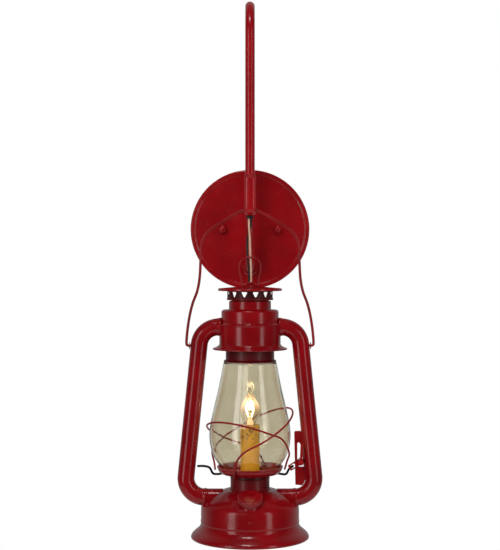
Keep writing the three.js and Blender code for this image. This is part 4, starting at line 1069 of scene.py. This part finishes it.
cap_r = radius_of("chimney_cap")
cap_low = foot_of("chimney_cap")
CAP_BORE = 3
cap_high = cap_low + 7.2
cap = turned("chimney_cap_disc", outline([
    (CAP_BORE, cap_high - 2.4, 0), (CAP_BORE, cap_high, 0.2), (4.6, cap_high - 1, 1), (10, cap_high - 2.8, 3),
    (24, cap_high - 4.1, 3), (cap_r - 1.4, cap_high - 4.6, 0.8), (cap_r, cap_high - 5, 1.1),
    (cap_r, cap_high - 7.2, 0.8), (cap_r - 1.3, cap_high - 7.2, 0.4), (cap_r - 1.6, cap_high - 5.9, 0.6),
    (24, cap_high - 5.4, 2), (10, cap_high - 4.1, 2), (CAP_BORE, cap_high - 2.4, 0),
], 7), at=LANTERN_AXIS, facets=192)
finish(cap, lantern_shaded_enamel, "chimney", "red_enamel", "chimney_cap")
bushing_top = top_of("cap_bushing")
bushing = turned("cap_bushing_cone", outline([
    (2.5, bushing_top - 4.8, 0), (2.9, bushing_top - 4.8, 0.1), (2.9, bushing_top - 1.5, 0.1),
    (4.2, bushing_top - 1.5, 0.3), (3.5, bushing_top - 0.4, 0.6), (2.7, bushing_top, 0.3),
    (2.5, bushing_top - 0.4, 0.1),
    (2.5, bushing_top - 4.8, 0),
]), at=LANTERN_AXIS, facets=64)
finish(bushing, wire_enamel, "chimney", "red_enamel", "cap_bushing")

LOOP_Y = -5.5
loop_foot = foot_of("lift_loop") + 0.6
loop_half = [(7.4, 0), (8.6, 6.2), (10.3, 13.8), (10.6, 19.2), (9.2, 24.2), (5, 27.4)]
loop_points = both_halves([(x, loop_foot + z) for x, z in loop_half], loop_foot + 28.2, LOOP_Y)
loop = swept("lift_loop_wire", from_base(spline(loop_points, 160)), 0.8, sides=16, domed=True, side=(0, 1, 0))
finish(loop, wire_enamel, "chimney", "red_enamel", "lift_loop")

# ------------------------------------------------------ small CAD parts kept
kept = {
    "mounting_strap": (zinc, 0.25), "plate_stud_left": (zinc, 0.2), "plate_stud_right": (zinc, 0.2),
    "ground_screw": (green_screw, 0.25), "arm_lock_washer": (zinc, 0.2), "arm_lock_nut": (brass, 0.35),
    "hook_bushing": (phenolic, 0.2), "tank_bottom": (shaded_enamel, 0.2), "lamp_socket": (phenolic, 0.2),
    "socket_stem": (zinc, 0.2), "stem_nut": (brass, 0.3), "filler_gasket": (rubber, 0.15),
    "tank_screw": (lantern_shaded_enamel, 0.15), "bail_ear_left": (lantern_shaded_enamel, 0.2),
    "bail_ear_right": (lantern_shaded_enamel, 0.2), "lever_bracket": (lantern_shaded_enamel, 0.15), "lever": (lantern_shaded_enamel, 0.2), "lever_rivet": (lantern_shaded_enamel, 0.25),
}
for node, (material, bevel) in kept.items():
    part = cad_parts[node]
    part.data.materials.clear()
    part.data.materials.append(material)
    edge = part.modifiers.new("soft_edges", "BEVEL")
    edge.width = bevel * MM
    edge.segments = 3
    edge.limit_method = "ANGLE"
    edge.angle_limit = math.radians(32)
    edge.harden_normals = True

# ------------------------------------------------------------------- stage
FLOOR_DROP = 0.42
floor_z = BASE_Z * MM - FLOOR_DROP
angle = np.linspace(0, 2 * math.pi, 96, endpoint=False)
disc = [(1.2 * math.cos(a), AXIS_Y * MM + 1.2 * math.sin(a), floor_z) for a in angle]
floor_mesh = bpy.data.meshes.new("floor")
floor_mesh.from_pydata(disc, [], [list(range(len(disc)))])
floor = bpy.data.objects.new("floor", floor_mesh)
bpy.context.scene.collection.objects.link(floor)
pale, pale_tree, pale_shader = new_material("pale_floor")
pale_tree.links.new(mixed(pale_tree, noise(pale_tree, 120, 3), colour("#EEEDEA"), colour("#F4F3F1")),
                    pale_shader.inputs["Base Color"])
pale_shader.inputs["Roughness"].default_value = 0.9
floor_mesh.materials.append(pale)

world = bpy.data.worlds.new("studio")
world.use_nodes = True
bpy.context.scene.world = world
sky = world.node_tree
background = sky.nodes["Background"]
background.inputs["Color"].default_value = (1, 1, 1, 1)
rays = add(sky, "ShaderNodeLightPath").outputs
toward = add(sky, "ShaderNodeTexCoord").outputs["Generated"]
depth = add(sky, "ShaderNodeSeparateXYZ", Vector=toward).outputs["Y"]
backdrop = between(sky, depth, 0.0, 0.6, 0.03, 0.32)
strength = None
for ray, share in (("Is Camera Ray", 1.0), ("Is Transmission Ray", 0.68), ("Is Diffuse Ray", 0.3),
                   ("Is Glossy Ray", backdrop)):
    part = add(sky, "ShaderNodeMath", {"operation": "MULTIPLY"}, i0=rays[ray], i1=share).outputs[0]
    if strength:
        part = add(sky, "ShaderNodeMath", {"operation": "MAXIMUM"}, i0=strength, i1=part).outputs[0]
    strength = part
sky.links.new(strength, background.inputs["Strength"])


def softbox(name, place, width, height, power, glints=True, body=True):
    """A rectangular soft light that faces the lantern; glints: seen in reflections; body: lights matt paint."""
    data = bpy.data.lights.new(name, "AREA")
    data.shape = "RECTANGLE"
    data.size = width
    data.size_y = height
    data.energy = power
    light = bpy.data.objects.new(name, data)
    light.location = place
    aim = Vector((0, AXIS_Y * MM, -0.1)) - Vector(place)
    light.rotation_euler = aim.to_track_quat("-Z", "Y").to_euler()
    light.visible_glossy = glints
    light.visible_diffuse = body
    bpy.context.scene.collection.objects.link(light)


softbox("key_left", (-0.5, -1.45, 0.45), 0.6, 0.9, 10.5, glints=False)
softbox("fill_right", (1.0, -1.0, 0.2), 0.5, 1.2, 3.5, glints=False)
softbox("top", (0.0, -0.3, 1.3), 1.0, 0.8, 3, glints=False)
softbox("behind", (0.3, 1.2, 0.5), 1.2, 1.2, 4, glints=False)
softbox("glint_left", (-0.95, -1.15, 0.0), 0.4, 1.2, 5, body=False)
softbox("glint_right", (1.0, -1.1, 0.0), 0.3, 1.2, 2.8, body=False)
softbox("glint_top", (-0.1, -0.7, 1.0), 0.3, 0.2, 4, body=False)
